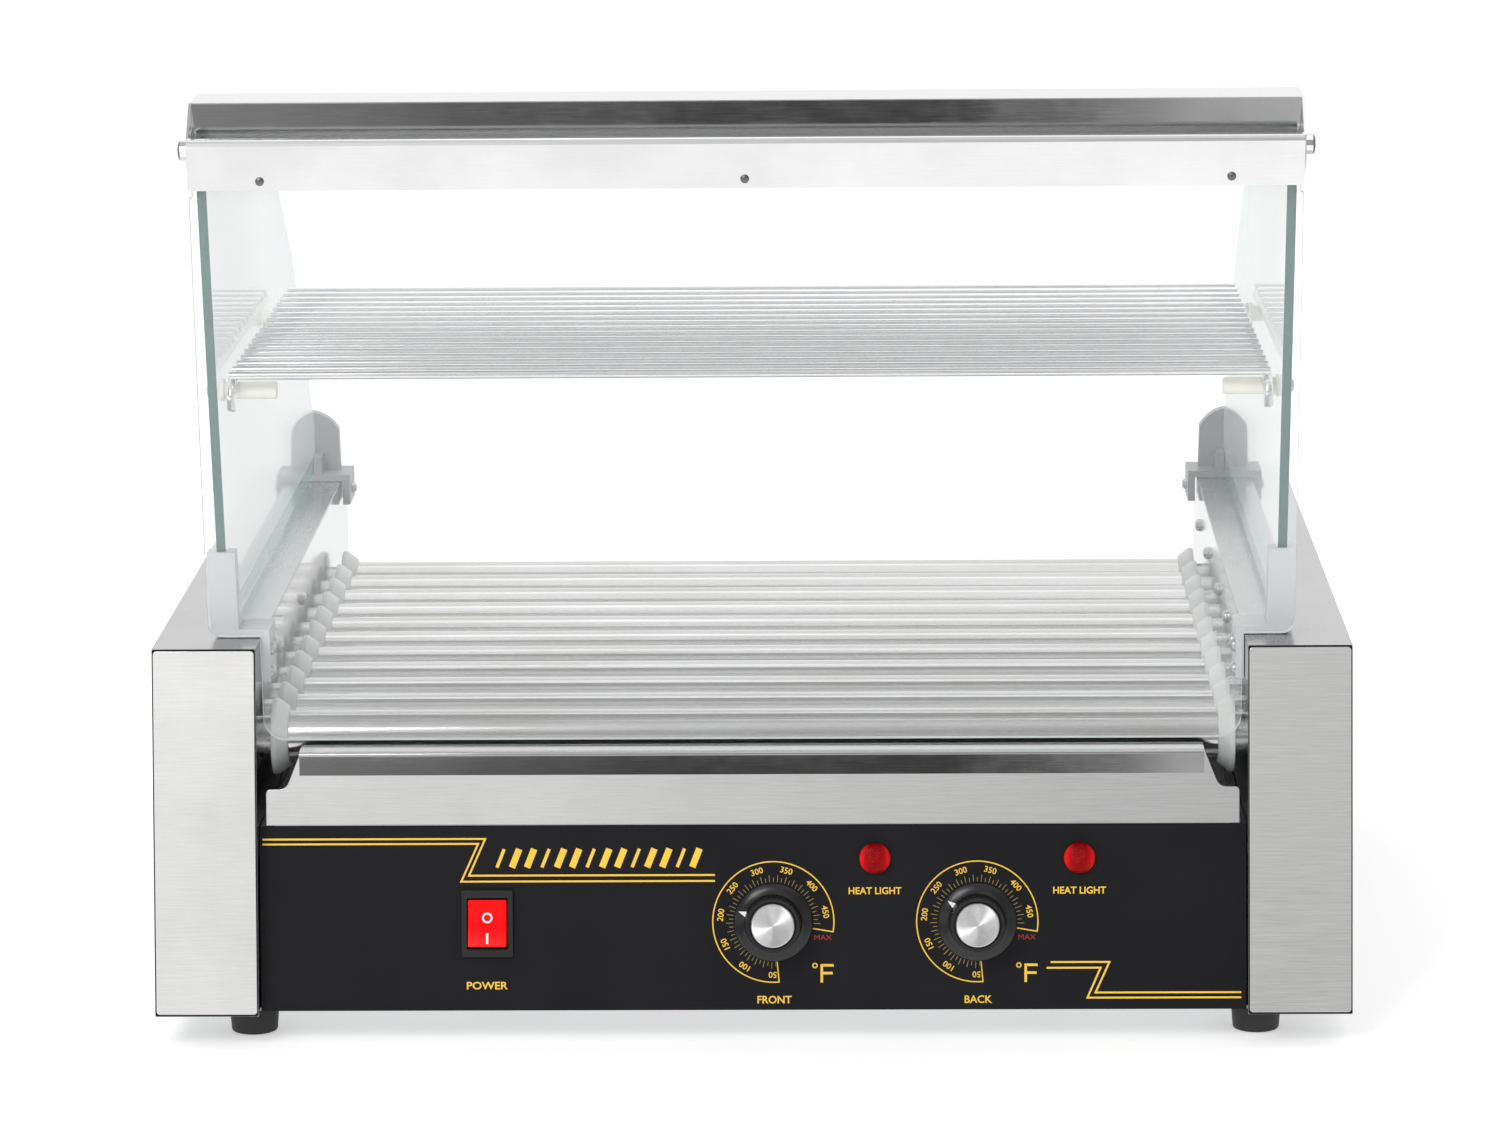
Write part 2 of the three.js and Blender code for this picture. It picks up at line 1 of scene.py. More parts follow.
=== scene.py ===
"""Looks for a counter-top roller grill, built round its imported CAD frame. Lengths are in metres."""

import math

import bmesh
import bpy
from mathutils import Matrix, Vector


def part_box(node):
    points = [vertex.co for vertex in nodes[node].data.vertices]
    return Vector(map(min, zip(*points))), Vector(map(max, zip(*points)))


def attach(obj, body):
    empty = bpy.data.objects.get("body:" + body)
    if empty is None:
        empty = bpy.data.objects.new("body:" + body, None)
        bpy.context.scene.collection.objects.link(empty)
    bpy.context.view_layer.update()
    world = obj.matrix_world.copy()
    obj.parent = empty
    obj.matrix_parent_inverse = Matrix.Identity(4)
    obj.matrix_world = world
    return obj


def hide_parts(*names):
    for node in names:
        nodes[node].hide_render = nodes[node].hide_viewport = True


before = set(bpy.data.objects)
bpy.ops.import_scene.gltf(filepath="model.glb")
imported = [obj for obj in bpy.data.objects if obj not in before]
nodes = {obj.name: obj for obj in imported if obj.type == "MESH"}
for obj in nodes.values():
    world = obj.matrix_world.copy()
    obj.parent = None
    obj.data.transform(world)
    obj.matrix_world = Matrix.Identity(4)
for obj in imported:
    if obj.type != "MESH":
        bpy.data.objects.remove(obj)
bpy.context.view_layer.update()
mm = 0.001

# ---- places taken from the frame ----
FRONT_SLOPE = math.radians(8)
DOOR_LEAN = math.radians(8)
cover_low, cover_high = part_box("left_side_cover")
TOP = cover_high.z
FRONT_Y = cover_low.y + (TOP - cover_low.z) * math.tan(FRONT_SLOPE)
FACE = Matrix.Translation((0, FRONT_Y, TOP)) @ Matrix.Rotation(-FRONT_SLOPE, 4, "X")
DOOR = Matrix.Translation((0, FRONT_Y - 2.5 * mm, TOP)) @ Matrix.Rotation(DOOR_LEAN, 4, "X")
PANEL_DEPTH = 8.6 * mm
INK_HEIGHT = 0.03 * mm
SIDES = {"left": -1, "right": 1}
ROLLERS = [f"{number:02d}" for number in range(1, 12)]

# A plane's x and y turned to run along +Y and +Z, or along +X and +Z.
ALONG_X = Matrix(((0, 0, 1, 0), (1, 0, 0, 0), (0, 1, 0, 0), (0, 0, 0, 1)))
UPRIGHT = Matrix(((1, 0, 0, 0), (0, 0, -1, 0), (0, 1, 0, 0), (0, 0, 0, 1)))


def face_centre(node):
    """Middle of a CAD node in the places of the sloping front: across and up the slope."""
    points = [FACE.inverted() @ vertex.co for vertex in nodes[node].data.vertices]
    xs = [point.x for point in points]
    zs = [point.z for point in points]
    return (min(xs) + max(xs)) / 2, (min(zs) + max(zs)) / 2


def on_panel(x, z, depth=PANEL_DEPTH):
    """Matrix of a plane on the sloping front: x across, y up the slope, z out of it."""
    return FACE @ Matrix.Translation((x, depth, z)) @ UPRIGHT


# ---- materials ----
def add_node(tree, kind, inputs, settings):
    """Add a shader node; each input is a value, or the socket that feeds it."""
    node = tree.nodes.new("ShaderNode" + kind)
    for key, value in settings.items():
        setattr(node, key, value)
    for key, value in inputs.items():
        if isinstance(value, bpy.types.NodeSocket):
            tree.links.new(value, node.inputs[key])
        else:
            node.inputs[key].default_value = value
    return node


class Nodes:
    """Short calls for the nodes of one material."""

    def __init__(self, name, **values):
        self.material = bpy.data.materials.new(name)
        self.material.use_nodes = True
        self.tree = self.material.node_tree
        self.shader = self.tree.nodes["Principled BSDF"]
        for key, value in values.items():
            socket = self.shader.inputs[key.replace("_", " ")]
            socket.default_value = (*value, 1) if isinstance(value, tuple) else value

    def add(self, kind, inputs=None, **settings):
        return add_node(self.tree, kind, inputs or {}, settings)

    def link(self, socket, target):
        self.tree.links.new(socket, self.shader.inputs[target])

    def place(self, scale=(1, 1, 1)):
        """Object coordinates, stretched."""
        where = self.add("TexCoord").outputs["Object"]
        return self.add("Mapping", {"Vector": where, "Scale": scale}).outputs["Vector"]

    def noise(self, scale, stretch=(1, 1, 1), detail=3.0, roughness=0.5):
        inputs = {"Vector": self.place(stretch), "Scale": scale, "Detail": detail, "Roughness": roughness}
        return self.add("TexNoise", inputs).outputs["Fac"]

    def ramp(self, factor, low, high, start=0.3, end=0.7):
        """A number that runs from low to high as the factor runs from start to end."""
        inputs = {"Value": factor, "From Min": start, "From Max": end, "To Min": low, "To Max": high}
        return self.add("MapRange", inputs).outputs["Result"]

    def blend_colours(self, factor, first, second):
        node = self.add("Mix", data_type="RGBA")
        self.tree.links.new(factor, node.inputs["Factor"])
        node.inputs["A"].default_value = (*first, 1)
        node.inputs["B"].default_value = (*second, 1)
        return node.outputs["Result"]

    def paint(self, factor, first, second, start=0.3, end=0.7):
        """Base colour that changes from first to second as the factor runs from start to end."""
        share = self.ramp(factor, 0, 1, start, end)
        self.link(self.blend_colours(share, first, second), "Base Color")

    def gloss(self, factor, low, high):
        """Roughness that changes from low to high with the factor."""
        self.link(self.ramp(factor, low, high), "Roughness")

    def bump(self, height, strength, distance=0.0002):
        inputs = {"Height": height, "Strength": strength, "Distance": distance}
        self.link(self.add("Bump", inputs).outputs["Normal"], "Normal")


def brushed_metal(name, colour, shade, low_rough, high_rough, strength):
    """Sheet brushed along its length, with fine scratches and faint handling marks."""
    along, across = 50, 1900
    m = Nodes(name, Metallic=1.0)
    upright = m.noise(1, (along, along, across), 4, 0.62)
    flat = m.noise(1, (across, along, along), 4, 0.62)
    normal = m.add("NewGeometry").outputs["Normal"]
    up = m.add("SeparateXYZ", {"Vector": normal}).outputs["Z"]
    tilt = m.add("Math", {0: up}, operation="ABSOLUTE").outputs[0]
    lying = m.ramp(tilt, 0, 1, 0.5, 0.8)
    lines = m.add("Mix", {"Factor": lying, "A": upright, "B": flat}).outputs["Result"]
    marks = m.noise(14, (1, 1, 1), 5, 0.65)
    m.paint(lines, colour, shade)
    rough = m.ramp(lines, low_rough, high_rough)
    spread = m.ramp(marks, -0.04, 0.05)
    m.link(m.add("Math", {0: rough, 1: spread}, operation="ADD").outputs[0], "Roughness")
    m.bump(lines, strength)
    return m.material


def plain_metal(name, colour, shade, low_rough, high_rough, scale, strength):
    """Metal with cloudy changes of colour and gloss."""
    m = Nodes(name, Metallic=1.0)
    cloud = m.noise(scale, (1, 1, 1), 5, 0.6)
    m.paint(cloud, colour, shade)
    m.gloss(m.noise(scale / 3), low_rough, high_rough)
    m.bump(cloud, strength, 0.0001)
    return m.material


def moulded(name, colour, shade, low_rough, high_rough, grain, strength, **values):
    """Moulded or painted surface with a fine grain and slight changes of gloss."""
    m = Nodes(name, **values)
    fine = m.noise(grain, (1, 1, 1), 2, 0.5)
    m.paint(m.noise(22), colour, shade)
    m.gloss(m.noise(35), low_rough, high_rough)
    m.bump(fine, strength, 0.0001)
    return m.material


def roller_finish():
    """Ground tube: hair-fine rings round it and faint heat tint."""
    m = Nodes("roller_ground_steel", Metallic=1.0)
    rings = m.noise(1, (3200, 30, 30), 3, 0.6)
    tint = m.noise(9, (1, 3, 3), 4, 0.6)
    m.paint(tint, (0.56, 0.55, 0.535), (0.64, 0.64, 0.64))
    m.gloss(rings, 0.10, 0.17)
    m.bump(rings, 0.05)
    return m.material


def turned_cap():
    """Face-turned aluminium: rings that spread each highlight into two fans."""
    m = Nodes("turned_aluminium", Metallic=1.0, Anisotropic=0.93, Roughness=0.34)
    rings = m.add("TexWave", {"Vector": m.place(), "Scale": 900, "Distortion": 0.0},
                  wave_type="RINGS", rings_direction="Y")
    m.paint(m.noise(500), (0.80, 0.80, 0.81), (0.9, 0.9, 0.9))
    m.bump(rings.outputs["Fac"], 0.03, 0.00005)
    tangent = m.add("Tangent", direction_type="RADIAL", axis="Y")
    m.link(tangent.outputs["Tangent"], "Tangent")
    return m.material


def lens_with_painted_glow():
    """Clear red moulding whose base colour carries painted light: painted shade where it faces forwards, and
    a painted glow where it faces sideways, for the light that comes through its sides.
    """
    m = Nodes("red_lens", Specular_IOR_Level=0.08, Coat_Weight=0.05, Coat_Roughness=0.03)
    normal = m.add("NewGeometry").outputs["Normal"]
    sideways = m.add("SeparateXYZ", {"Vector": normal}).outputs["X"]
    share = m.add("Math", {0: sideways}, operation="ABSOLUTE").outputs[0]
    # Painted glow: dark red where the face points forwards, bright red where it points sideways.
    m.paint(share, (0.25, 0.0, 0.001), (0.9, 0.014, 0.016), 0.3, 0.75)
    m.gloss(m.noise(200), 0.08, 0.16)
    return m.material


def clear_sheet(name, colour, facing, grazing, roughness):
    """Clear sheet that lets the light through, and turns into a mirror at a glancing view."""
    m = Nodes(name, Base_Color=colour, IOR=1.5)
    weight = m.add("LayerWeight", {"Blend": 0.333}).outputs["Fresnel"]
    m.link(m.ramp(weight, facing, grazing, 0.04, 0.55), "Alpha")
    smear = m.noise(11, (1, 1, 0.4), 5, 0.6)
    m.gloss(smear, roughness, roughness + 0.05)
    return m.material


def edge_glass(name, colour, shade):
    """Cut glass edge, coloured through the sheet's length."""
    m = Nodes(name, IOR=1.5)
    along = m.noise(1, (5, 14, 9), 3, 0.6)
    m.paint(along, colour, shade)
    m.gloss(m.noise(300), 0.12, 0.3)
    return m.material


# One stainless steel in several copies. Besides real differences in brushing and gloss, their base colours
# paint light and shade: the facings, tray front, rail and top cover get lighter copies, and the housing sheet
# a darker one.
steel = brushed_metal(
    "brushed_stainless", (0.51, 0.51, 0.515), (0.56, 0.56, 0.56), 0.21, 0.26, 0.01)
facing_steel = brushed_metal(
    "facing_stainless", (0.79, 0.787, 0.78), (0.91, 0.905, 0.90), 0.15, 0.20, 0.04)
tray_steel = brushed_metal(
    "tray_stainless", (0.70, 0.70, 0.695), (0.80, 0.80, 0.795), 0.14, 0.18, 0.035)
cover_steel = brushed_metal(
    "smooth_brushed_stainless", (0.59, 0.59, 0.595), (0.65, 0.65, 0.655), 0.07, 0.11, 0.015)
rail_steel = brushed_metal(
    "brushed_stainless_lit_copy", (0.84, 0.84, 0.84), (0.9, 0.9, 0.9), 0.13, 0.17, 0.015)
wall_steel = brushed_metal(
    "mirror_brushed_stainless", (0.66, 0.66, 0.67), (0.72, 0.72, 0.73), 0.06, 0.10, 0.012)

galvanised = plain_metal(
    "galvanised_sheet", (0.5, 0.51, 0.52), (0.62, 0.63, 0.64), 0.35, 0.5, 45, 0.15)
# Oiled steel for the chain and sprockets. It also colours the crosses of screw heads, where it is painted
# shade in their recesses.
dark_steel_and_recess_shade = plain_metal(
    "oiled_steel_and_recess_shade", (0.16, 0.16, 0.165), (0.24, 0.235, 0.23), 0.3, 0.45, 150, 0.2)
screw_steel = plain_metal(
    "screw_steel", (0.42, 0.42, 0.43), (0.55, 0.55, 0.55), 0.2, 0.32, 300, 0.05)
chrome = plain_metal(
    "bright_plating", (0.86, 0.86, 0.87), (0.8, 0.8, 0.81), 0.05, 0.1, 120, 0.02)
# Near-black metal that is painted shade: in the seam round each front facing, and in the crosses of the door
# pivot screws.
seam_and_recess_shade = plain_metal(
    "painted_seam_and_recess_shade", (0.02, 0.02, 0.021), (0.04, 0.04, 0.041), 0.4, 0.55, 200, 0.05)
tube_steel = roller_finish()
cap_metal = turned_cap()

panel_black = moulded(
    "panel_black", (0.0075, 0.0075, 0.009), (0.0095, 0.0095, 0.0115), 0.42, 0.5, 1400, 0.08,
    Specular_IOR_Level=0.18)
knob_black = moulded(
    "knob_black", (0.009, 0.009, 0.01), (0.014, 0.014, 0.015), 0.24, 0.36, 1600, 0.15,
    Specular_IOR_Level=0.45)
switch_black = moulded(
    "switch_black", (0.014, 0.014, 0.014), (0.018, 0.018, 0.018), 0.38, 0.5, 1200, 0.1,
    Specular_IOR_Level=0.35)
motor_paint = moulded(
    "motor_paint", (0.05, 0.055, 0.06), (0.07, 0.075, 0.08), 0.4, 0.55, 500, 0.2)
grey_plastic = moulded(
    "grey_plastic", (0.25, 0.26, 0.275), (0.29, 0.30, 0.315), 0.32, 0.42, 700, 0.04)
# The front brackets are the same plastic as the rear ones (grey_plastic); this lighter copy paints the light
# on them.
front_bracket_plastic = moulded(
    "bracket_plastic_lit_copy", (0.50, 0.505, 0.52), (0.55, 0.555, 0.57), 0.32, 0.42, 700, 0.04)
ptfe = moulded(
    "white_ptfe", (0.60, 0.61, 0.60), (0.68, 0.69, 0.68), 0.32, 0.45, 500, 0.06,
    Subsurface_Weight=0.15, Subsurface_Scale=0.002)
pin_plastic = moulded(
    "ivory_ptfe", (0.80, 0.79, 0.70), (0.86, 0.85, 0.77), 0.35, 0.5, 500, 0.06,
    Subsurface_Weight=0.15, Subsurface_Scale=0.002)
rubber = moulded(
    "foot_rubber", (0.011, 0.011, 0.011), (0.018, 0.018, 0.018), 0.6, 0.8, 800, 0.3)
red_plastic = moulded(
    "red_plastic", (0.97, 0.0, 0.002), (1.0, 0.003, 0.005), 0.2, 0.3, 300, 0.02,
    Specular_IOR_Level=0.16)
red_lens = lens_with_painted_glow()

gold_ink = moulded("gold_ink", (0.95, 0.60, 0.05), (0.88, 0.53, 0.035), 0.4, 0.5, 900, 0.05)
faint_gold_ink = moulded("faint_gold_ink", (0.30, 0.21, 0.06), (0.38, 0.27, 0.09), 0.4, 0.5, 900, 0.05)
red_ink = moulded("red_ink", (0.34, 0.012, 0.016), (0.44, 0.018, 0.02), 0.4, 0.5, 900, 0.05)
white_ink = moulded("white_ink", (0.86, 0.86, 0.86), (0.8, 0.8, 0.8), 0.35, 0.45, 900, 0.05)

side_pane = clear_sheet("side_pane", (0.98, 1.0, 1.0), 0.06, 0.74, 0.01)
pane_foot = clear_sheet("pane_foot", (0.14, 0.40, 0.38), 0.06, 0.85, 0.02)
side_edge = edge_glass("side_pane_edge", (0.010, 0.078, 0.072), (0.026, 0.118, 0.110))
polished_edge = clear_sheet("polished_pane_edge", (0.42, 0.66, 0.64), 0.34, 0.5, 0.1)
door_pane = clear_sheet("door_pane", (0.96, 0.98, 0.98), 0.085, 0.5, 0.02)
door_edge = edge_glass("door_pane_edge", (0.50, 0.54, 0.54), (0.66, 0.70, 0.70))


# ---- mesh helpers ----
def finish_piece(name, bm, materials, body, replaced=(), bevel=0.0, sharp=32):
    """Turn a bmesh into a named piece that rides on a body."""
    bmesh.ops.recalc_face_normals(bm, faces=bm.faces)
    mesh = bpy.data.meshes.new(name)
    bm.to_mesh(mesh)
    bm.free()
    for material in materials:
        mesh.materials.append(material)
    piece = bpy.data.objects.new(name, mesh)
    bpy.context.scene.collection.objects.link(piece)
    soften(piece, bevel, sharp)
    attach(piece, body)
    if replaced:
        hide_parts(*replaced)
    return piece


def soften(piece, bevel, sharp=32):
    """Round off the sharp edges, and shade smoothly between them."""
    mesh = piece.data
    mesh.polygons.foreach_set("use_smooth", [True] * len(mesh.polygons))
    mesh.set_sharp_from_angle(angle=math.radians(sharp))
    if bevel:
        modifier = piece.modifiers.new("edge", "BEVEL")
        modifier.width = bevel
        modifier.segments = 2
        modifier.limit_method = "ANGLE"
        modifier.angle_limit = math.radians(sharp)
        modifier.harden_normals = True


def turned_axis(origin, direction):
    """Matrix whose z axis runs along a direction from an origin."""
    turn = Vector(direction).to_track_quat("Z", "Y").to_matrix().to_4x4()
    return Matrix.Translation(origin) @ turn


def lathe(bm, profile, place, segments=48, material=0, ribs=None):
    """Turn a profile of (radius, place along z). Ribs name the rings with teeth, and their depth."""
    rings = []
    for number, (radius, along) in enumerate(profile):
        if radius == 0:
            rings.append([bm.verts.new(place @ Vector((0, 0, along)))])
            continue
        ring = []
        for i in range(segments):
            angle = 2 * math.pi * i / segments
            r = radius
            if ribs and number in ribs["rings"]:
                r -= ribs["depth"] * (i % 4 in (0, 1))
            point = Vector((r * math.cos(angle), r * math.sin(angle), along))
            ring.append(bm.verts.new(place @ point))
        rings.append(ring)
    for lower, upper in zip(rings, rings[1:]):
        for i in range(segments):
            spots = ((lower, i), (lower, i + 1), (upper, i + 1), (upper, i))
            corners = [ring[k % len(ring)] for ring, k in spots]
            bm.faces.new(list(dict.fromkeys(corners))).material_index = material


def rounded(points, radius, steps=5, closed=True):
    """Round the corners of a line of 2-D or 3-D points; radius is one number or one for each point."""
    points = [Vector(point) for point in points]
    radii = [radius] * len(points) if isinstance(radius, (int, float)) else radius
    result = []
    for i, point in enumerate(points):
        open_end = not closed and i in (0, len(points) - 1)
        if open_end or radii[i] == 0:
            result.append(point)
            continue
        before = (points[i - 1] - point).normalized()
        after = (points[(i + 1) % len(points)] - point).normalized()
        half = before.angle(after) / 2
        reach = radii[i] / math.tan(half)
        start, end = point + before * reach, point + after * reach
        centre = point + (before + after).normalized() * (radii[i] / math.sin(half))
        for step in range(steps + 1):
            share = step / steps
            way = (start - centre).lerp(end - centre, share).normalized() * radii[i]
            result.append(centre + way)
    return result


def plate(bm, outline, low, high, place, material=0, edge_material=None):
    """Extrude an outline in the xy plane of a matrix between two heights, and return the side faces."""
    lower = [bm.verts.new(place @ Vector((x, y, low))) for x, y in outline]
    upper = [bm.verts.new(place @ Vector((x, y, high))) for x, y in outline]
    bm.faces.new(lower).material_index = material
    bm.faces.new(list(reversed(upper))).material_index = material
    sides = []
    for i in range(len(outline)):
        j = (i + 1) % len(outline)
        sides.append(bm.faces.new([lower[j], lower[i], upper[i], upper[j]]))
        sides[-1].material_index = material if edge_material is None else edge_material
    return sides


def frame_plate(bm, outer, inner, low, high, place):
    """A plate with one opening; both outlines have the same number of points."""
    rings = [[bm.verts.new(place @ Vector((x, y, height))) for x, y in outline]
             for outline, height in ((outer, low), (outer, high), (inner, high), (inner, low))]
    for ring, following in zip(rings, rings[1:] + rings[:1]):
        for i in range(len(ring)):
            j = (i + 1) % len(ring)
            bm.faces.new([ring[i], ring[j], following[j], following[i]])


def in_mm(pairs):
    """Pairs of millimetres turned into metres."""
    return [(first * mm, second * mm) for first, second in pairs]


def circle(radius, count):
    angles = [2 * math.pi * i / count for i in range(count)]
    return [(radius * math.sin(angle), radius * math.cos(angle)) for angle in angles]


def box_outline(width, height, radius, steps=5):
    w, h = width / 2, height / 2
    return rounded([(-w, -h), (w, -h), (w, h), (-w, h)], radius, steps)


def tube(bm, path, radius, segments):
    """A round bar along a path, with slightly domed ends."""
    end_share, end_length = 0.55, radius * 0.35
    path = [Vector(point) for point in path]
    first = (path[1] - path[0]).normalized()
    last = (path[-1] - path[-2]).normalized()
    stations = [(path[0], end_share), (path[0] + first * end_length, 1.0)]
    stations += [(point, 1.0) for point in path[1:-1]]
    stations += [(path[-1] - last * end_length, 1.0), (path[-1], end_share)]
    across = first.orthogonal().normalized()
    previous = first
    rings = []
    for i, (point, share) in enumerate(stations):
        ahead = stations[min(i + 1, len(stations) - 1)][0] - stations[max(i - 1, 0)][0]
        ahead.normalize()
        across = previous.rotation_difference(ahead) @ across
        previous = ahead
        other = ahead.cross(across)
        rings.append([bm.verts.new(point + (across * math.cos(a) + other * math.sin(a)) * radius * share)
                      for a in (2 * math.pi * k / segments for k in range(segments))])
    for lower, upper in zip(rings, rings[1:]):
        for k in range(segments):
            n = (k + 1) % segments
            bm.faces.new([lower[k], lower[n], upper[n], upper[k]])
    for ring in (rings[0], rings[-1]):
        bm.faces.new(ring)


def stroke(bm, points, width, place):
    """A printed line of one width through 2-D points, with mitred corners."""
    points = [Vector(point) for point in points]
    steps = [(after - before).normalized() for before, after in zip(points, points[1:])]
    left, right = [], []
    for point, into, out in zip(points, steps[:1] + steps, steps + steps[-1:]):
        along = (into + out).normalized()
        side = Vector((-along.y, along.x))
        square = Vector((-out.y, out.x))
        reach = side * width / 2 / max(side.dot(square), 0.3)
        left.append(point + reach)
        right.append(point - reach)
    plate(bm, left + list(reversed(right)), 0, INK_HEIGHT, place)


def lettering(bm, words, height, place, width=None, weight=0.0):
    """Raised flat lettering of a given height, centred on the matrix's origin."""
    curve = bpy.data.curves.new("lettering", "FONT")
    curve.body = words
    curve.offset = weight
    curve.resolution_u = 3
    maker = bpy.data.objects.new("lettering", curve)
    mesh = bpy.data.meshes.new_from_object(maker)
    xs = [vertex.co.x for vertex in mesh.vertices]
    ys = [vertex.co.y for vertex in mesh.vertices]
    tall = height / (max(ys) - min(ys))
    wide = width / (max(xs) - min(xs)) if width else tall
    middle = Matrix.Translation((-(min(xs) + max(xs)) / 2, -(min(ys) + max(ys)) / 2, 0))
    lift = Matrix.Translation((0, 0, INK_HEIGHT))
    mesh.transform(place @ lift @ Matrix.Diagonal((wide, tall, 1, 1)) @ middle)
    bm.from_mesh(mesh)
    bpy.data.objects.remove(maker)
    bpy.data.meshes.remove(mesh)


def pan_head(bm, origin, direction, radius, material=0, recess_shade_material=1, share=0.62):
    """A domed screw head on a surface, with a raised cross that stands for its cross recess and, in a darker
    material, paints the shade in it; share is its height over its radius.
    """
    place = turned_axis(origin, direction)
    rise = radius * share
    shape = [(1, 0), (1, 0.25), (0.93, 0.55), (0.74, 0.83), (0.4, 0.97), (0, 1)]
    lathe(bm, [(radius * out, rise * up) for out, up in shape], place, 24, material)
    arm, half, first_turn = radius * 0.52, radius * 0.11, 0.3
    bar = [(-arm, -half), (arm, -half), (arm, half), (-arm, half)]
    # The cross stands up from the head. Its material, darker in most calls, is painted shade for the recess.
    for turn in (first_turn, first_turn + math.pi / 2):
        cross = place @ Matrix.Rotation(turn, 4, "Z")
        plate(bm, bar, rise * 0.8, rise * 0.99, cross, recess_shade_material)


# ---- sheet metal and mechanism that keep their CAD shapes ----
KEPT = [
    (steel, 0.5 * mm, ["left_side_cover", "right_side_cover", "drip_tray"]),
    (rail_steel, 0.5 * mm, ["top_cover"]),
    (rail_steel, 0.4 * mm, ["door_rail"]),
    (wall_steel, 0.2 * mm, ["left_bearing_wall", "right_bearing_wall"]),
    (galvanised, 0.3 * mm, ["base_chassis", "tray_shelf"]),
    (panel_black, 0.2 * mm, ["control_panel"]),
    (dark_steel_and_recess_shade, 0.15 * mm, ["motor_sprocket", "drive_chain"] + [f"sprocket_{number}" for number in ROLLERS]),
    (motor_paint, 1.0 * mm, ["gear_motor"]),
    (grey_plastic, 0.6 * mm, [f"rear_{side}_glass_bracket" for side in SIDES]),
    (front_bracket_plastic, 1.4 * mm, [f"front_{side}_glass_bracket" for side in SIDES]),
    (grey_plastic, 0.8 * mm, ["front_thermostat", "back_thermostat"]),
    (knob_black, 0.4 * mm, ["cable_gland"]),
]
for material, bevel, names in KEPT:
    for name in names:
        nodes[name].data.materials.clear()
        nodes[name].data.materials.append(material)
        soften(nodes[name], bevel)


# ---- rollers ----
def roller_axis(number, side=1):
    """Matrix whose z axis runs outwards along a roller, from the middle of it."""
    low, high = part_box(f"roller_{number}")
    return turned_axis((0, (low.y + high.y) / 2, (low.z + high.z) / 2), (side, 0, 0))


def make_roller(number):
    name = f"roller_{number}"
    low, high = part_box(name)
    tube_r, journal_r, bore_r, end_x = 12.7 * mm, 7 * mm, 4.8 * mm, high.x
    inner_x, chamfer_x, outer_x = 227 * mm, 232.6 * mm, 235 * mm
    collar_r, nose_r = (high.z - low.z) / 2, 14.65 * mm
    bore_x, step_x, chamfer = end_x - 7 * mm, outer_x - 4 * mm, 0.4 * mm
    axis = roller_axis(number)
    bm = bmesh.new()
    half = [(0, bore_x), (bore_r, bore_x), (bore_r, end_x), (journal_r - chamfer, end_x),
            (journal_r, end_x - chamfer), (journal_r, step_x), (tube_r, step_x), (tube_r, 0)]
    lathe(bm, half + [(r, -along) for r, along in reversed(half[:-1])], axis, 56)
    finish_piece(f"{name}_tube", bm, [tube_steel], name, [name])
    bm = bmesh.new()
    collar = [(tube_r - 0.1 * mm, inner_x), (nose_r, inner_x), (collar_r, chamfer_x), (collar_r, outer_x),
              (journal_r + 0.2 * mm, outer_x)]
    profile = rounded(collar, [0, 0.5 * mm, 1.2 * mm, 0.5 * mm, 0], 4, False)
    for side in SIDES.values():
        lathe(bm, [(r, side * along) for r, along in profile], axis, 56)
    finish_piece(f"{name}_collars", bm, [ptfe], name)


def make_bushes():
    """Steel sleeves on the wall bosses that the rollers' journals turn in."""
    inside, outside, hole, radius = 235.2 * mm, 239.8 * mm, 7.5 * mm, 10.15 * mm
    sleeve = [(hole, inside), (radius, inside), (radius, outside), (hole, outside), (hole, inside)]
    bm = bmesh.new()
    for number in ROLLERS:
        for side in SIDES.values():
            lathe(bm, sleeve, roller_axis(number, side))
    bmesh.ops.remove_doubles(bm, verts=bm.verts, dist=0.01 * mm)
    finish_piece("roller_bushes", bm, [screw_steel], "housing", bevel=0.15 * mm)


for number in ROLLERS:
    make_roller(number)
make_bushes()


# ---- dials, lamps and switch ----
KNOB_TURNS = {"front": math.radians(-18), "back": math.radians(-36)}


def make_knob(name):
    x, z = face_centre(f"{name}_knob")
    place = on_panel(x, z)
    bm = bmesh.new()
    skirt = [(0, 0.3), (17.6, 0.3), (18.8, 0.7), (19, 1.3), (19, 1.9), (18.5, 2.5), (16.5, 3.3), (14.6, 4.2),
             (14.0, 4.8), (13.8, 5.8)]
    grip = [(13.6, 6.4), (13.6, 7.4), (13.6, 15.6), (13.5, 16.2), (12.9, 16.7)]
    crown = [(11.6, 16.7), (11.2, 16.4), (10.9, 16.0), (0, 16.0)]
    first = len(skirt) + 1
    ribs = {"rings": range(first, first + 3), "depth": 0.45 * mm}
    lathe(bm, in_mm(skirt + grip + crown), place, 256, 0, ribs)
    add_pointer(bm, place @ Matrix.Rotation(KNOB_TURNS[name], 4, "Z"), 1)
    body = f"{name}_knob"
    finish_piece(f"{name}_knob_body", bm, [knob_black, white_ink], body, [body])
    bm = bmesh.new()
    cap = [(0, 15.8), (10.3, 15.8), (10.5, 16.2), (10.5, 17.5), (10.1, 17.95), (9.4, 18.05), (0, 18.1)]
    lathe(bm, in_mm(cap), place, 96)
    finish_piece(f"{name}_knob_cap", bm, [cap_metal], body)


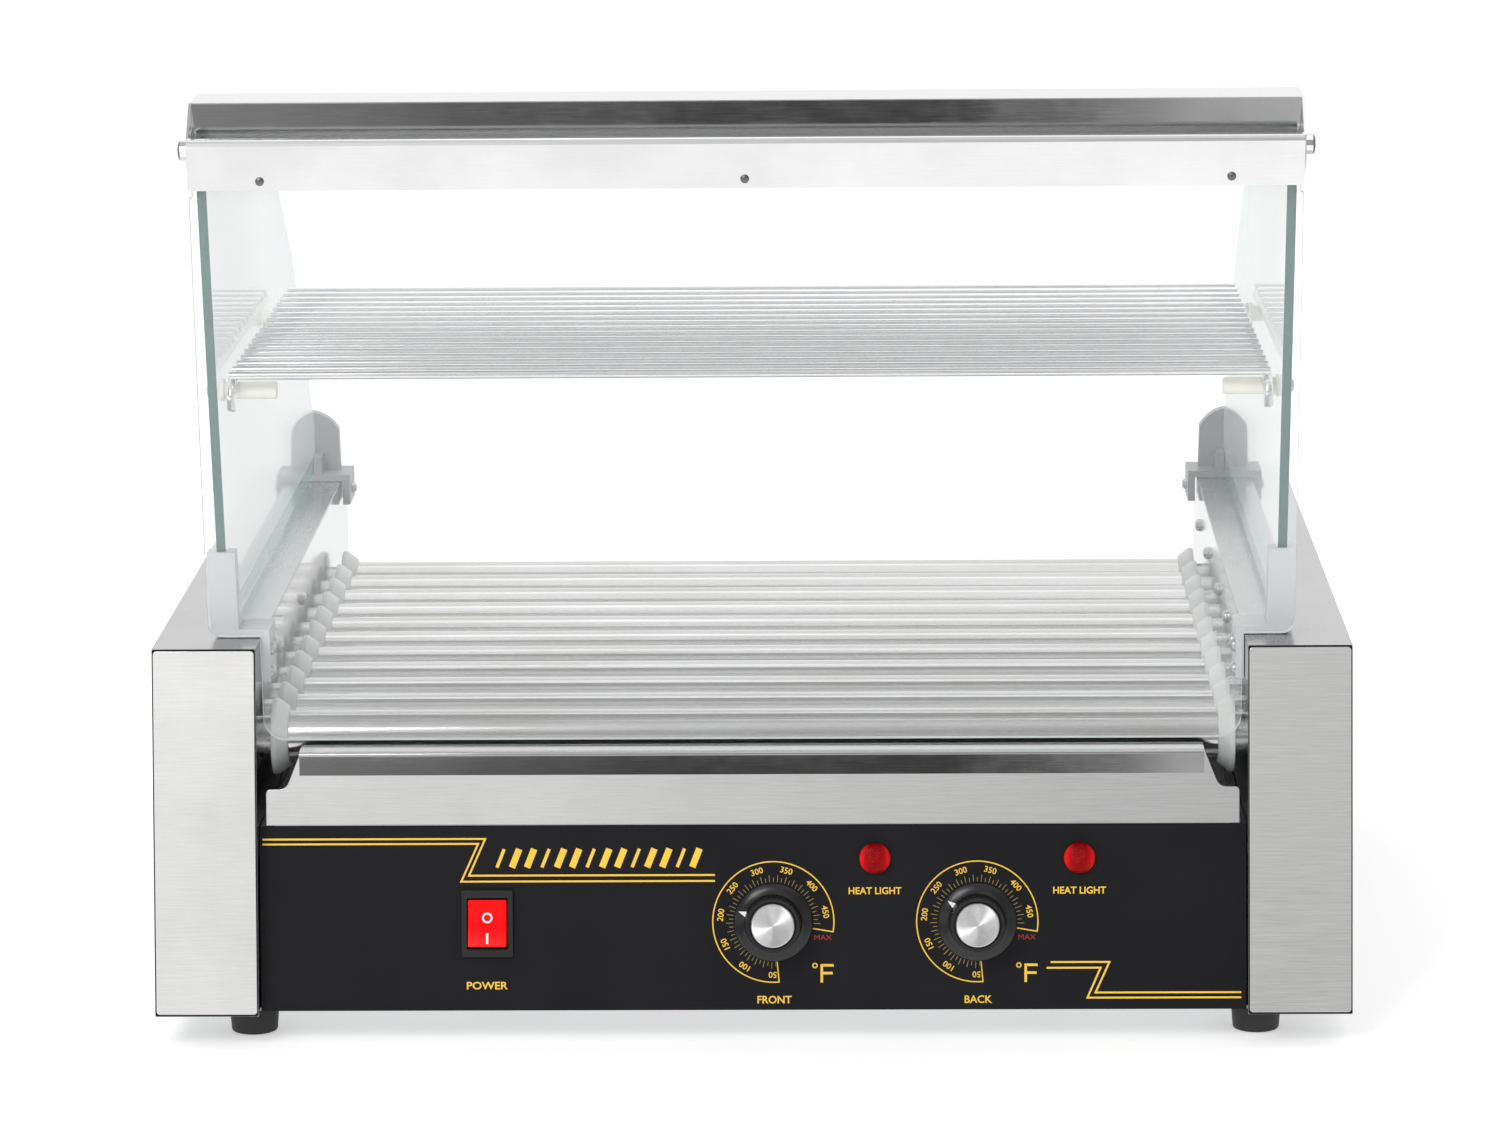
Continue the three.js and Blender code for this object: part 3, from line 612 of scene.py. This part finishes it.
def add_pointer(bm, place, material):
    """A raised triangle that points to -x and follows the slope of the knob's skirt."""
    corners = [(-17.7, 0, 2.95), (-13.35, 1.55, 4.9), (-13.35, -1.55, 4.9)]
    rise, root = 0.25, -0.6
    top = [bm.verts.new(place @ (Vector((u, v, w + rise)) * mm)) for u, v, w in corners]
    base = [bm.verts.new(place @ (Vector((u, v, w + root)) * mm)) for u, v, w in corners]
    faces = [bm.faces.new(top), bm.faces.new(list(reversed(base)))]
    faces += [bm.faces.new([top[i], base[i], base[(i + 1) % 3], top[(i + 1) % 3]]) for i in range(3)]
    for face in faces:
        face.material_index = material


def make_lamp(name):
    """A domed lens with a fine grid, and its holder behind the panel."""
    lamp = f"{name}_heat_light"
    x, z = face_centre(lamp)
    place = on_panel(x, z)
    radius, rim_height, dome_height = 7.5, 1.4, 4.6
    pitch, depth, grid_edge = 0.62 * mm, 0.22 * mm, 0.86
    rim = [(0, 0.3), (7.3, 0.3), (radius, 0.6), (radius, rim_height)]
    angles = [math.radians(2.5 * i) for i in range(1, 36)]
    dome = [(radius * math.cos(a), rim_height + dome_height * math.sin(a)) for a in angles]
    bm = bmesh.new()
    lathe(bm, in_mm(rim + dome + [(0, rim_height + dome_height)]), place, 96)
    back = place.inverted()
    outward = (place.to_3x3() @ Vector((0, 0, 1))).normalized()
    for vertex in bm.verts:
        local = back @ vertex.co
        reach = math.hypot(local.x, local.y) / (radius * mm)
        if local.z > rim_height * mm and reach < grid_edge:
            wave = math.cos(math.pi * local.x / pitch) * math.cos(math.pi * local.y / pitch)
            vertex.co += outward * depth * wave * (1 - reach ** 6)
    finish_piece(f"{lamp}_lens", bm, [red_lens], "housing", [lamp], sharp=60)
    bm = bmesh.new()
    lathe(bm, in_mm([(0, -18), (6.2, -18), (6.2, -3), (5.2, 0.2), (0, 0.2)]), place, 32)
    finish_piece(f"{lamp}_holder", bm, [switch_black], "housing")


def make_switch_bezel(place):
    depth, floor = -20 * mm, -19 * mm
    outer = box_outline(25 * mm, 32.6 * mm, 0.9 * mm)
    inner = box_outline(19.9 * mm, 24.9 * mm, 0.5 * mm)
    body = box_outline(22 * mm, 28 * mm, 0.6 * mm)
    bm = bmesh.new()
    frame_plate(bm, outer, inner, 0.2 * mm, 2.0 * mm, place)
    frame_plate(bm, body, inner, depth, 0.3 * mm, place)
    plate(bm, inner, depth, floor, place)
    finish_piece("switch_bezel", bm, [switch_black], "housing", ["switch_frame"], 0.3 * mm)


def make_rocker(place):
    """The rocker with its hollow face, its upper end pressed in, and the two marks on it."""
    length, width, dip_height, rise = 23.0 * mm, 18.9 * mm, 1.0 * mm, 1.7 * mm
    tilt = place @ Matrix.Translation((0, 0, 0.6 * mm)) @ Matrix.Rotation(math.radians(-7), 4, "X")

    def surface(v):
        return dip_height + rise * (2 * v / length) ** 2

    def seat(v):
        """Matrix of a plane that touches the face at one place along it."""
        slope = (surface(v + 1 * mm) - surface(v - 1 * mm)) / (2 * mm)
        return tilt @ Matrix.Translation((0, v, surface(v))) @ Matrix.Rotation(math.atan(slope), 4, "X")

    rows = [length * (i / 16 - 0.5) for i in range(17)]
    section = [(v, surface(v)) for v in rows]
    section += in_mm([(11, -0.6), (6.6, -6), (-6.6, -6), (-11, -0.6)])
    bm = bmesh.new()
    plate(bm, section, -width / 2, width / 2, tilt @ ALONG_X)
    finish_piece("power_rocker_cap", bm, [red_plastic], "power_rocker", ["power_rocker"],
                 0.45 * mm, 40)
    ring_at, bar_at, sunk, raised = 2.7 * mm, -7.4 * mm, -0.2 * mm, 0.12 * mm
    bm = bmesh.new()
    frame_plate(bm, circle(2.55 * mm, 40), circle(1.7 * mm, 40), sunk, raised, seat(ring_at))
    plate(bm, box_outline(1.1 * mm, 5.2 * mm, 0.2 * mm), sunk, raised, seat(bar_at))
    finish_piece("rocker_marks", bm, [white_ink], "power_rocker")


for name in ("front", "back"):
    make_knob(name)
    make_lamp(name)
switch_x, switch_z = face_centre("switch_frame")
make_switch_bezel(on_panel(switch_x, switch_z))
make_rocker(on_panel(switch_x, switch_z))


# ---- printing on the panel ----
PRINT = on_panel(0, 0)


def at(x, z, turn=0.0):
    """Matrix of a spot on the panel, turned about that spot."""
    return PRINT @ Matrix.Translation((x, z, 0)) @ Matrix.Rotation(turn, 4, "Z")


def print_lines(bm):
    """The double lines that frame the title bars and close the panel's lower right corner."""
    lines = [((-238, -93.4), (-129.6, -93.4), (-137.6, -111.3), (-18.1, -111.3)),
             ((-238, -95.8), (-133.0, -95.8), (-141.4, -114.2), (-18.1, -114.2)),
             ((144.5, -154.2), (173, -154.2), (166.2, -169.1), (236.8, -169.1)),
             ((142.5, -157.0), (168.7, -157.0), (162.3, -171.6), (236.8, -171.6))]
    for line in lines:
        stroke(bm, in_mm(line), 0.9 * mm, PRINT)
    first, foot, pitch, count = -124 * mm, -107.4 * mm, 7.3 * mm, 14
    lean, height, thick, thin = 3.6 * mm, 9.0 * mm, 3.2 * mm, 1.6 * mm
    for i in range(count):
        low = Vector((first + i * pitch, foot))
        stroke(bm, [low, low + Vector((lean, height))], thick if i % 3 else thin, PRINT)


def print_scale(gold, faint, red, x, z):
    """Numbers, ticks and outline of one dial; angles run clockwise from the bottom."""
    first, last, number_step, tick_step = -5.2, 279.5, 32.25, 5.4
    inner, short, long, numbers, outer = 19.4, 21.6, 22.8, 25.8, 29.4

    def spot(angle, radius):
        a = math.radians(angle)
        return x - radius * mm * math.sin(a), z - radius * mm * math.cos(a)

    arc = [spot(first + (last - first) * i / 90, outer) for i in range(91)]
    stroke(gold, [spot(first, inner)] + arc + [spot(last, inner)], 0.6 * mm, PRINT)
    for i in range(9):
        angle = 1 + number_step * i
        place = at(*spot(angle, numbers), math.pi - math.radians(angle))
        lettering(gold, str(50 * (i + 1)), 3.0 * mm, place, weight=0.012)
    for i in range(52):
        angle = first + 2 + tick_step * i
        stroke(faint, [spot(angle, inner), spot(angle, long if i % 2 else short)], 0.32 * mm, PRINT)
    lettering(red, "MAX", 2.4 * mm, at(x + 24.1 * mm, z - 7.6 * mm), 8.4 * mm)
    print_unit(gold, x, z)


def print_unit(bm, x, z):
    """The degree sign and the F beside a dial."""
    degree_r, hole_share, bar = 1.35 * mm, 0.55, 1.25 * mm
    ring, hole = circle(degree_r, 28), circle(degree_r * hole_share, 28)
    frame_plate(bm, ring, hole, 0, INK_HEIGHT, at(x + 20.1 * mm, z - 21.3 * mm))
    letter = Vector((x + 23.4 * mm, z - 29.6 * mm))
    stroke(bm, [letter, letter + Vector((0, 9 * mm))], bar, PRINT)
    for height, reach in ((8.4, 5.3), (4.6, 4.8)):
        start = letter + Vector((0.5 * mm, height * mm))
        stroke(bm, [start, start + Vector((reach * mm, 0))], bar, PRINT)


gold, faint, red = bmesh.new(), bmesh.new(), bmesh.new()
print_lines(gold)
for name, label in (("front", "FRONT"), ("back", "BACK")):
    dial_x, dial_z = face_centre(f"{name}_knob")
    print_scale(gold, faint, red, dial_x, dial_z)
    lettering(gold, label, 3.8 * mm, at(dial_x + 0.4 * mm, dial_z - 37.9 * mm), weight=0.018)
    lamp_x, lamp_z = face_centre(f"{name}_heat_light")
    lettering(gold, "HEAT LIGHT", 3.5 * mm, at(lamp_x, lamp_z - 15.9 * mm), 25.6 * mm, weight=0.018)
lettering(gold, "POWER", 3.8 * mm, at(switch_x - 0.3 * mm, switch_z - 30.4 * mm), 20 * mm, weight=0.018)
finish_piece("panel_print_gold", gold, [gold_ink], "housing")
finish_piece("panel_print_ticks", faint, [faint_gold_ink], "housing")
finish_piece("panel_print_red", red, [red_ink], "housing")


# ---- feet ----
def make_foot(name):
    low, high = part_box(name)
    centre = ((low.x + high.x) / 2, (low.y + high.y) / 2, 0)
    radius, top = (high.x - low.x) / 2, high.z
    bm = bmesh.new()
    recess = 2.2
    profile = in_mm([(0, recess), (4.2, recess), (4.6, 0.4), (5.2, 0), (10.2, 0), (10.9, 0.3), (11.3, 1.0)])
    profile += [(radius - 0.5 * mm, top - 3 * mm), (radius, top - 2.6 * mm), (radius, top - 0.6 * mm),
                (radius - 0.5 * mm, top), (0, top)]
    lathe(bm, profile, Matrix.Translation(centre), 48)
    pan_head(bm, (centre[0], centre[1], recess * mm), (0, 0, -1), 3 * mm, 1, 1)
    finish_piece(f"{name}_moulding", bm, [rubber, screw_steel], "housing", [name])


for end in ("front", "rear"):
    for side in SIDES:
        make_foot(f"{end}_{side}_foot")


# ---- hood: glass sides, rack pins, door ----
def flat_outline(node):
    """Outline of an x-facing plate, as (y, z) points in order, read from its CAD node."""
    touching = 0.01 * mm
    bm = bmesh.new()
    bm.from_mesh(nodes[node].data)
    bmesh.ops.remove_doubles(bm, verts=bm.verts, dist=touching)
    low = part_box(node)[0].x
    inner = {face for face in bm.faces if all(abs(v.co.x - low) < touching for v in face.verts)}
    rim = [edge for edge in bm.edges if sum(face in inner for face in edge.link_faces) == 1]
    links = {}
    for edge in rim:
        for a, b in (edge.verts, reversed(edge.verts)):
            links.setdefault(a, []).append(b)
    start = min(links, key=lambda v: (v.co.z, v.co.y))
    order = [start, links[start][0]]
    while order[-1] != start:
        order.append(next(v for v in links[order[-1]] if v != order[-2]))
    points = [(v.co.y, v.co.z) for v in order[:-1]]
    bm.free()
    return points


def make_pane(side):
    """A side glass: a deep green front edge, clearer edges behind it, and a tinted strip at its foot."""
    node = f"{side}_side_glass"
    low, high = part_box(node)
    front_end, foot_top = FRONT_Y + 60 * mm, low.z + 9 * mm
    bm = bmesh.new()
    for edge in plate(bm, flat_outline(node), low.x, high.x, ALONG_X, 0, 1):
        if edge.calc_center_median().y > front_end:
            edge.material_index = 2
    parts = bm.verts[:] + bm.edges[:] + bm.faces[:]
    bmesh.ops.bisect_plane(bm, geom=parts, plane_co=(0, 0, foot_top), plane_no=(0, 0, 1))
    for face in bm.faces:
        if face.material_index == 0 and face.calc_center_median().z < foot_top:
            face.material_index = 3
    materials = [side_pane, side_edge, polished_edge, pane_foot]
    pane = finish_piece(f"{side}_glass_sheet", bm, materials, "hood", [node], 0.35 * mm, 30)
    pane.visible_shadow = False


def make_rack_pin(end, side):
    """A turned pin with a flange, and the screw that holds it from outside the glass."""
    node = f"{end}_{side}_rack_pin"
    sign = SIDES[side]
    low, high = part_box(node)
    glass_low, glass_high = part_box(f"{side}_side_glass")
    root, outside = (high.x, glass_high.x) if sign > 0 else (low.x, glass_low.x)
    y, z = (low.y + high.y) / 2, (low.z + high.z) / 2
    radius, length = (high.z - low.z) / 2, high.x - low.x
    flange_r, flange = radius + 1.2 * mm, 1.6 * mm
    profile = rounded([(0, 0), (flange_r, 0), (flange_r, flange), (radius, flange), (radius, length),
                       (0, length)], [0, 0.2 * mm, 0.3 * mm, 0, 0.7 * mm, 0], 3, False)
    bm = bmesh.new()
    lathe(bm, profile, turned_axis((root, y, z), (-sign, 0, 0)), 32)
    pan_head(bm, (outside, y, z), (sign, 0, 0), 3.6 * mm, 1, 2)
    # The screw's cross takes the oiled steel as painted shade in its recess.
    materials = [pin_plastic, screw_steel, dark_steel_and_recess_shade]
    finish_piece(f"{node}_turned", bm, materials, "hood", [node])


def make_door():
    low, shoulder, top = -46.9, 6.6, 250
    narrow, wide, under_rail = 236.9, 262, 260.5
    rail_foot, thickness = 226, 3 * mm
    right = [(narrow, low), (narrow, shoulder), (wide, shoulder), (wide, rail_foot),
             (under_rail, rail_foot), (under_rail, top)]
    radii = [11 * mm, 0, 6.5 * mm, 0, 0, 0]
    outline = in_mm(right + [(-x, z) for x, z in reversed(right)])
    bm = bmesh.new()
    plate(bm, rounded(outline, radii + radii[::-1], 8), -thickness, 0, DOOR @ UPRIGHT, 0, 1)
    pane = finish_piece("door_sheet", bm, [door_pane, door_edge], "front_door", ["door_panel"],
                        0.3 * mm, 30)
    pane.visible_shadow = False
    forwards = DOOR.to_3x3() @ Vector((0, -1, 0))
    bm = bmesh.new()
    for x in (-228 * mm, 0, 228 * mm):
        surface = DOOR @ Vector((x, -1.5 * mm, 234.5 * mm))
        pan_head(bm, surface, forwards, 2.1 * mm, 0, 0)
    finish_piece("door_rail_screws", bm, [dark_steel_and_recess_shade], "front_door")


for side in SIDES:
    make_pane(side)
for end in ("front", "rear"):
    for side in SIDES:
        make_rack_pin(end, side)
make_door()


# ---- bun rack ----
def make_bun_rack():
    low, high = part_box("bun_rack")
    side_r, cross_r = 2.5 * mm, 2 * mm
    half = high.x - side_r
    cross_z = high.z - cross_r
    side_z = cross_z - 4.4 * mm
    front, rear = low.y + side_r, high.y - 0.5 * mm
    first, pitch, count = front + 2 * mm, 17.5 * mm, 17
    bm = bmesh.new()
    for side in SIDES.values():
        x = side * half
        path = rounded([(x, rear, side_z), (x, front, side_z), (x, front, low.z)], 7 * mm, 8, False)
        tube(bm, path, side_r, 16)
    reach = half + 1.6 * mm
    for i in range(count):
        y = first + i * pitch
        tube(bm, [(-reach, y, cross_z), (0, y, cross_z), (reach, y, cross_z)], cross_r, 12)
    finish_piece("bun_rack_wires", bm, [chrome], "bun_rack", ["bun_rack"])


make_bun_rack()


# ---- front facings of the housings ----
def make_facing(side):
    """A folded facing sheet on the sloping front of one housing, over a black sheet whose rim paints the
    shade in the seam round it.
    """
    low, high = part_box(f"{side}_side_cover")
    middle = (low.x + high.x) / 2
    width = high.x - low.x
    height = (high.z - low.z) / math.cos(FRONT_SLOPE)
    place = on_panel(middle, -height / 2, 0)
    seam = box_outline(width - 0.2 * mm, height - 0.2 * mm, 0.8 * mm, 3)
    sheet = box_outline(width - 1.3 * mm, height - 2.0 * mm, 1.6 * mm, 4)
    bm = bmesh.new()
    # Black sheet a little larger than the facing: its rim is painted shade in the seam.
    plate(bm, seam, -0.2 * mm, 0.2 * mm, place)
    finish_piece(f"{side}_facing_seam_shade", bm, [seam_and_recess_shade], "housing")
    bm = bmesh.new()
    plate(bm, sheet, 0.1 * mm, 0.7 * mm, place)
    finish_piece(f"{side}_front_facing", bm, [facing_steel], "housing", bevel=0.25 * mm)


for side in SIDES:
    make_facing(side)


# ---- facings of the tray and the top cover ----
def make_tray_facing():
    """Front sheet of the drip tray, in a lighter copy of the stainless that paints the light on it, and the
    folded skin of its pull lip.
    """
    low, ledge, top = -86.3 * mm, -69.1 * mm, -47.9 * mm
    half, notch, shoulder = 235.8 * mm, 226.2 * mm, 217.8 * mm
    right = [(half, low), (half, ledge), (notch, ledge), (shoulder, top)]
    radii = [0.3 * mm, 2.2 * mm, 5 * mm, 3.2 * mm]
    outline = rounded(right + [(-x, z) for x, z in reversed(right)], radii + radii[::-1])
    bm = bmesh.new()
    plate(bm, outline, -0.1 * mm, 0.35 * mm, PRINT)
    finish_piece("tray_front_facing", bm, [tray_steel], "drip_tray", bevel=0.12 * mm)
    lip_top, lip_height, lip_half, skin = TOP - 48.4 * mm, 11.3 * mm, 218.2 * mm, 0.3 * mm
    tray_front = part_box("drip_tray")[0].y
    root, tip = tray_front + 15 * mm, tray_front - skin
    outer = rounded([(root, lip_top + skin), (tip, lip_top + skin), (tip, lip_top - lip_height)],
                    2.2 * mm, 5, False)
    inner = rounded([(root, lip_top), (tip + skin, lip_top), (tip + skin, lip_top - lip_height)],
                    1.9 * mm, 5, False)
    bm = bmesh.new()
    plate(bm, outer + list(reversed(inner)), -lip_half, lip_half, ALONG_X)
    finish_piece("tray_lip_skin", bm, [cover_steel], "drip_tray")


def make_cover_facing():
    """Front sheet of the top cover, right across between its side flanges, and the pivot screws."""
    front, half = FRONT_Y - 11 * mm, 262.2 * mm
    bottom, top = TOP + 248 * mm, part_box("top_cover")[1].z - 0.4 * mm
    outline = [(-half, bottom), (half, bottom), (half, top), (-half, top)]
    bm = bmesh.new()
    plate(bm, outline, 0, 0.5 * mm, Matrix.Translation((0, front, 0)) @ UPRIGHT)
    finish_piece("cover_front_facing", bm, [cover_steel], "hood")
    bm = bmesh.new()
    pivot_x, pivot_y, pivot_z = 266.9 * mm, FRONT_Y - 18 * mm, TOP + 244.6 * mm
    for side in SIDES.values():
        pan_head(bm, (side * pivot_x, pivot_y, pivot_z), (side, 0, 0), 4.6 * mm, 0, 1, 0.3)
    # Heads in oiled steel. Their crosses are near black, as painted shade in the recesses.
    finish_piece("door_pivot_screws", bm, [dark_steel_and_recess_shade, seam_and_recess_shade], "hood")


make_tray_facing()
make_cover_facing()


# ---- screws ----
def add_wall_screws(bm, sign, places):
    """Tall heads on the inner walls: along the side, on the front brackets and at the rear."""
    inwards, tall = (-sign, 0, 0), 0.8
    for y in places:
        pan_head(bm, (sign * 239.7 * mm, FRONT_Y + y * mm, TOP - 21 * mm), inwards, 3.4 * mm, share=tall)
    for y, drop in ((31, 18), (34, 7), (47, 7)):
        spot = (sign * 235.4 * mm, FRONT_Y + y * mm, TOP - drop * mm)
        pan_head(bm, spot, inwards, 3.2 * mm, share=tall)
    rear = (sign * 234.4 * mm, FRONT_Y + 470 * mm, TOP - 6 * mm)
    pan_head(bm, rear, inwards, 3.2 * mm, share=tall)


def add_cover_screws(bm, sign):
    """Heads on the outer side and the back of one housing; the front ones follow its slope."""
    front_y = 60
    for y in (front_y, 250, 440):
        for z in (32 * mm, TOP - 26 * mm):
            shift = (TOP - z) * math.tan(FRONT_SLOPE) * (y == front_y)
            pan_head(bm, (sign * 290 * mm, FRONT_Y + y * mm - shift, z), (sign, 0, 0), 3.0 * mm)
    for z in (34 * mm, TOP - 30 * mm):
        pan_head(bm, (sign * 265 * mm, FRONT_Y + 495 * mm, z), (0, 1, 0), 3.0 * mm)


def add_base_screws(bm):
    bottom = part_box("base_chassis")[0]
    rows = [(bottom.y + 12 * mm, (-270, -215, -72, 72, 215, 270)), (FRONT_Y + 440 * mm, (-180, 0, 180))]
    for y, places in rows:
        for x in places:
            pan_head(bm, (x * mm, y, bottom.z), (0, 0, -1), 3.2 * mm)
    for x in (-215, -70, 70, 215):
        pan_head(bm, (x * mm, FRONT_Y + 481.2 * mm, 32 * mm), (0, 1, 0), 3.0 * mm)


screws = bmesh.new()
for sign, places in ((-1, (108, 228)), (1, (108, 172, 243, 343, 424))):
    add_wall_screws(screws, sign, places)
    add_cover_screws(screws, sign)
add_base_screws(screws)
# The crosses take the oiled steel as painted shade in their recesses.
finish_piece("housing_screws", screws, [screw_steel, dark_steel_and_recess_shade], "housing")


# ---- stage, light and camera ----
def make_stage():
    m = Nodes("pale_floor", Specular_IOR_Level=0.1, Emission_Color=(1.0, 1.0, 1.0), Emission_Strength=0.4)
    m.paint(m.noise(3), (0.86, 0.86, 0.86), (0.88, 0.88, 0.88))
    m.gloss(m.noise(5), 0.8, 0.9)
    bpy.ops.mesh.primitive_plane_add(size=60, location=(0, 0, 0))
    floor = bpy.context.object
    floor.name = "floor"
    floor.data.materials.append(m.material)
    floor.visible_glossy = False


def make_world():
    """Bright studio behind the object, facing a room with level bands of light and a dimmer ceiling."""
    world = bpy.data.worlds.new("studio")
    bpy.context.scene.world = world
    world.use_nodes = True
    tree = world.node_tree

    def add(kind, inputs, **settings):
        return add_node(tree, kind, inputs, settings)

    def step(value, start, end, low=0.0, high=1.0):
        inputs = {"Value": value, "From Min": start, "From Max": end, "To Min": low, "To Max": high}
        return add("MapRange", inputs, interpolation_type="SMOOTHSTEP").outputs["Result"]

    def plus(first, second):
        return add("Math", {0: first, 1: second}, operation="ADD").outputs[0]

    def mix(share, first, second):
        return add("Mix", {"Factor": share, "A": first, "B": second}).outputs["Result"]

    # Each step is a soft edge between two parts of the sky, by the x, y or z of the direction.
    where = add("TexCoord", {}).outputs["Generated"]
    axis = add("SeparateXYZ", {"Vector": where}).outputs
    front = step(axis["Y"], -0.15, 0.15, 1, 0)
    low = step(axis["Z"], -0.37, -0.31)
    level = step(axis["Z"], -0.09, -0.05)
    high = step(axis["Z"], 0.14, 0.26)
    beyond = step(axis["Z"], 0.66, 0.80)
    overhead = step(axis["Z"], 0.88, 0.97)
    window = step(axis["X"], 0.035, 0.055, 0.0, 0.7)
    room = plus(step(axis["X"], -0.13, -0.03, 0.36, 0.07), window)
    wall = plus(step(axis["X"], -0.14, 0.07, 1.06, 0.53), step(axis["Z"], 0.0, 0.09, 0.0, 0.22))
    light = mix(low, 1.3, room)
    light = mix(level, light, wall)
    light = mix(high, light, 0.42)
    light = mix(beyond, light, 0.95)
    light = mix(front, 1.08, light)
    light = mix(overhead, light, 0.5)
    tree.links.new(light, tree.nodes["Background"].inputs["Color"])
    tree.nodes["Background"].inputs["Strength"].default_value = 0.88


def make_light(name, location, target, size, power):
    light = bpy.data.lights.new(name, "AREA")
    light.shape = "RECTANGLE"
    light.size, light.size_y = size
    light.energy = power
    lamp = bpy.data.objects.new(name, light)
    lamp.location = location
    lamp.rotation_euler = (Vector(target) - Vector(location)).to_track_quat("-Z", "Y").to_euler()
    bpy.context.scene.collection.objects.link(lamp)


def make_camera():
    """The long lens in front of the object, a little above it; the angles are in radians."""
    camera = bpy.data.cameras.new("camera")
    camera.lens = 139.97
    camera.sensor_width = 36
    view = bpy.data.objects.new("camera", camera)
    place = Vector((0.0643, FRONT_Y - 2.7544, 0.7709))
    yaw, pitch, roll = 0.02332, 0.19225, 0.00868
    ahead = Vector((-math.sin(yaw) * math.cos(pitch), math.cos(yaw) * math.cos(pitch), -math.sin(pitch)))
    level = Vector((math.cos(yaw), math.sin(yaw), 0))
    down = ahead.cross(level)
    right = level * math.cos(roll) + down * math.sin(roll)
    up = level * math.sin(roll) - down * math.cos(roll)
    turn = Matrix((right, up, -ahead)).transposed().to_4x4()
    view.matrix_world = Matrix.Translation(place) @ turn
    bpy.context.scene.collection.objects.link(view)
    bpy.context.scene.camera = view


make_stage()
make_world()
make_light("key", (-1.3, -2.6, 2.2), (0, 0, 0.2), (1.6, 1.4), 50)
make_light("top", (0.2, 0.3, 2.6), (0, 0, 0), (2.4, 2.0), 10)
make_camera()
bpy.context.scene.view_settings.view_transform = "Standard"
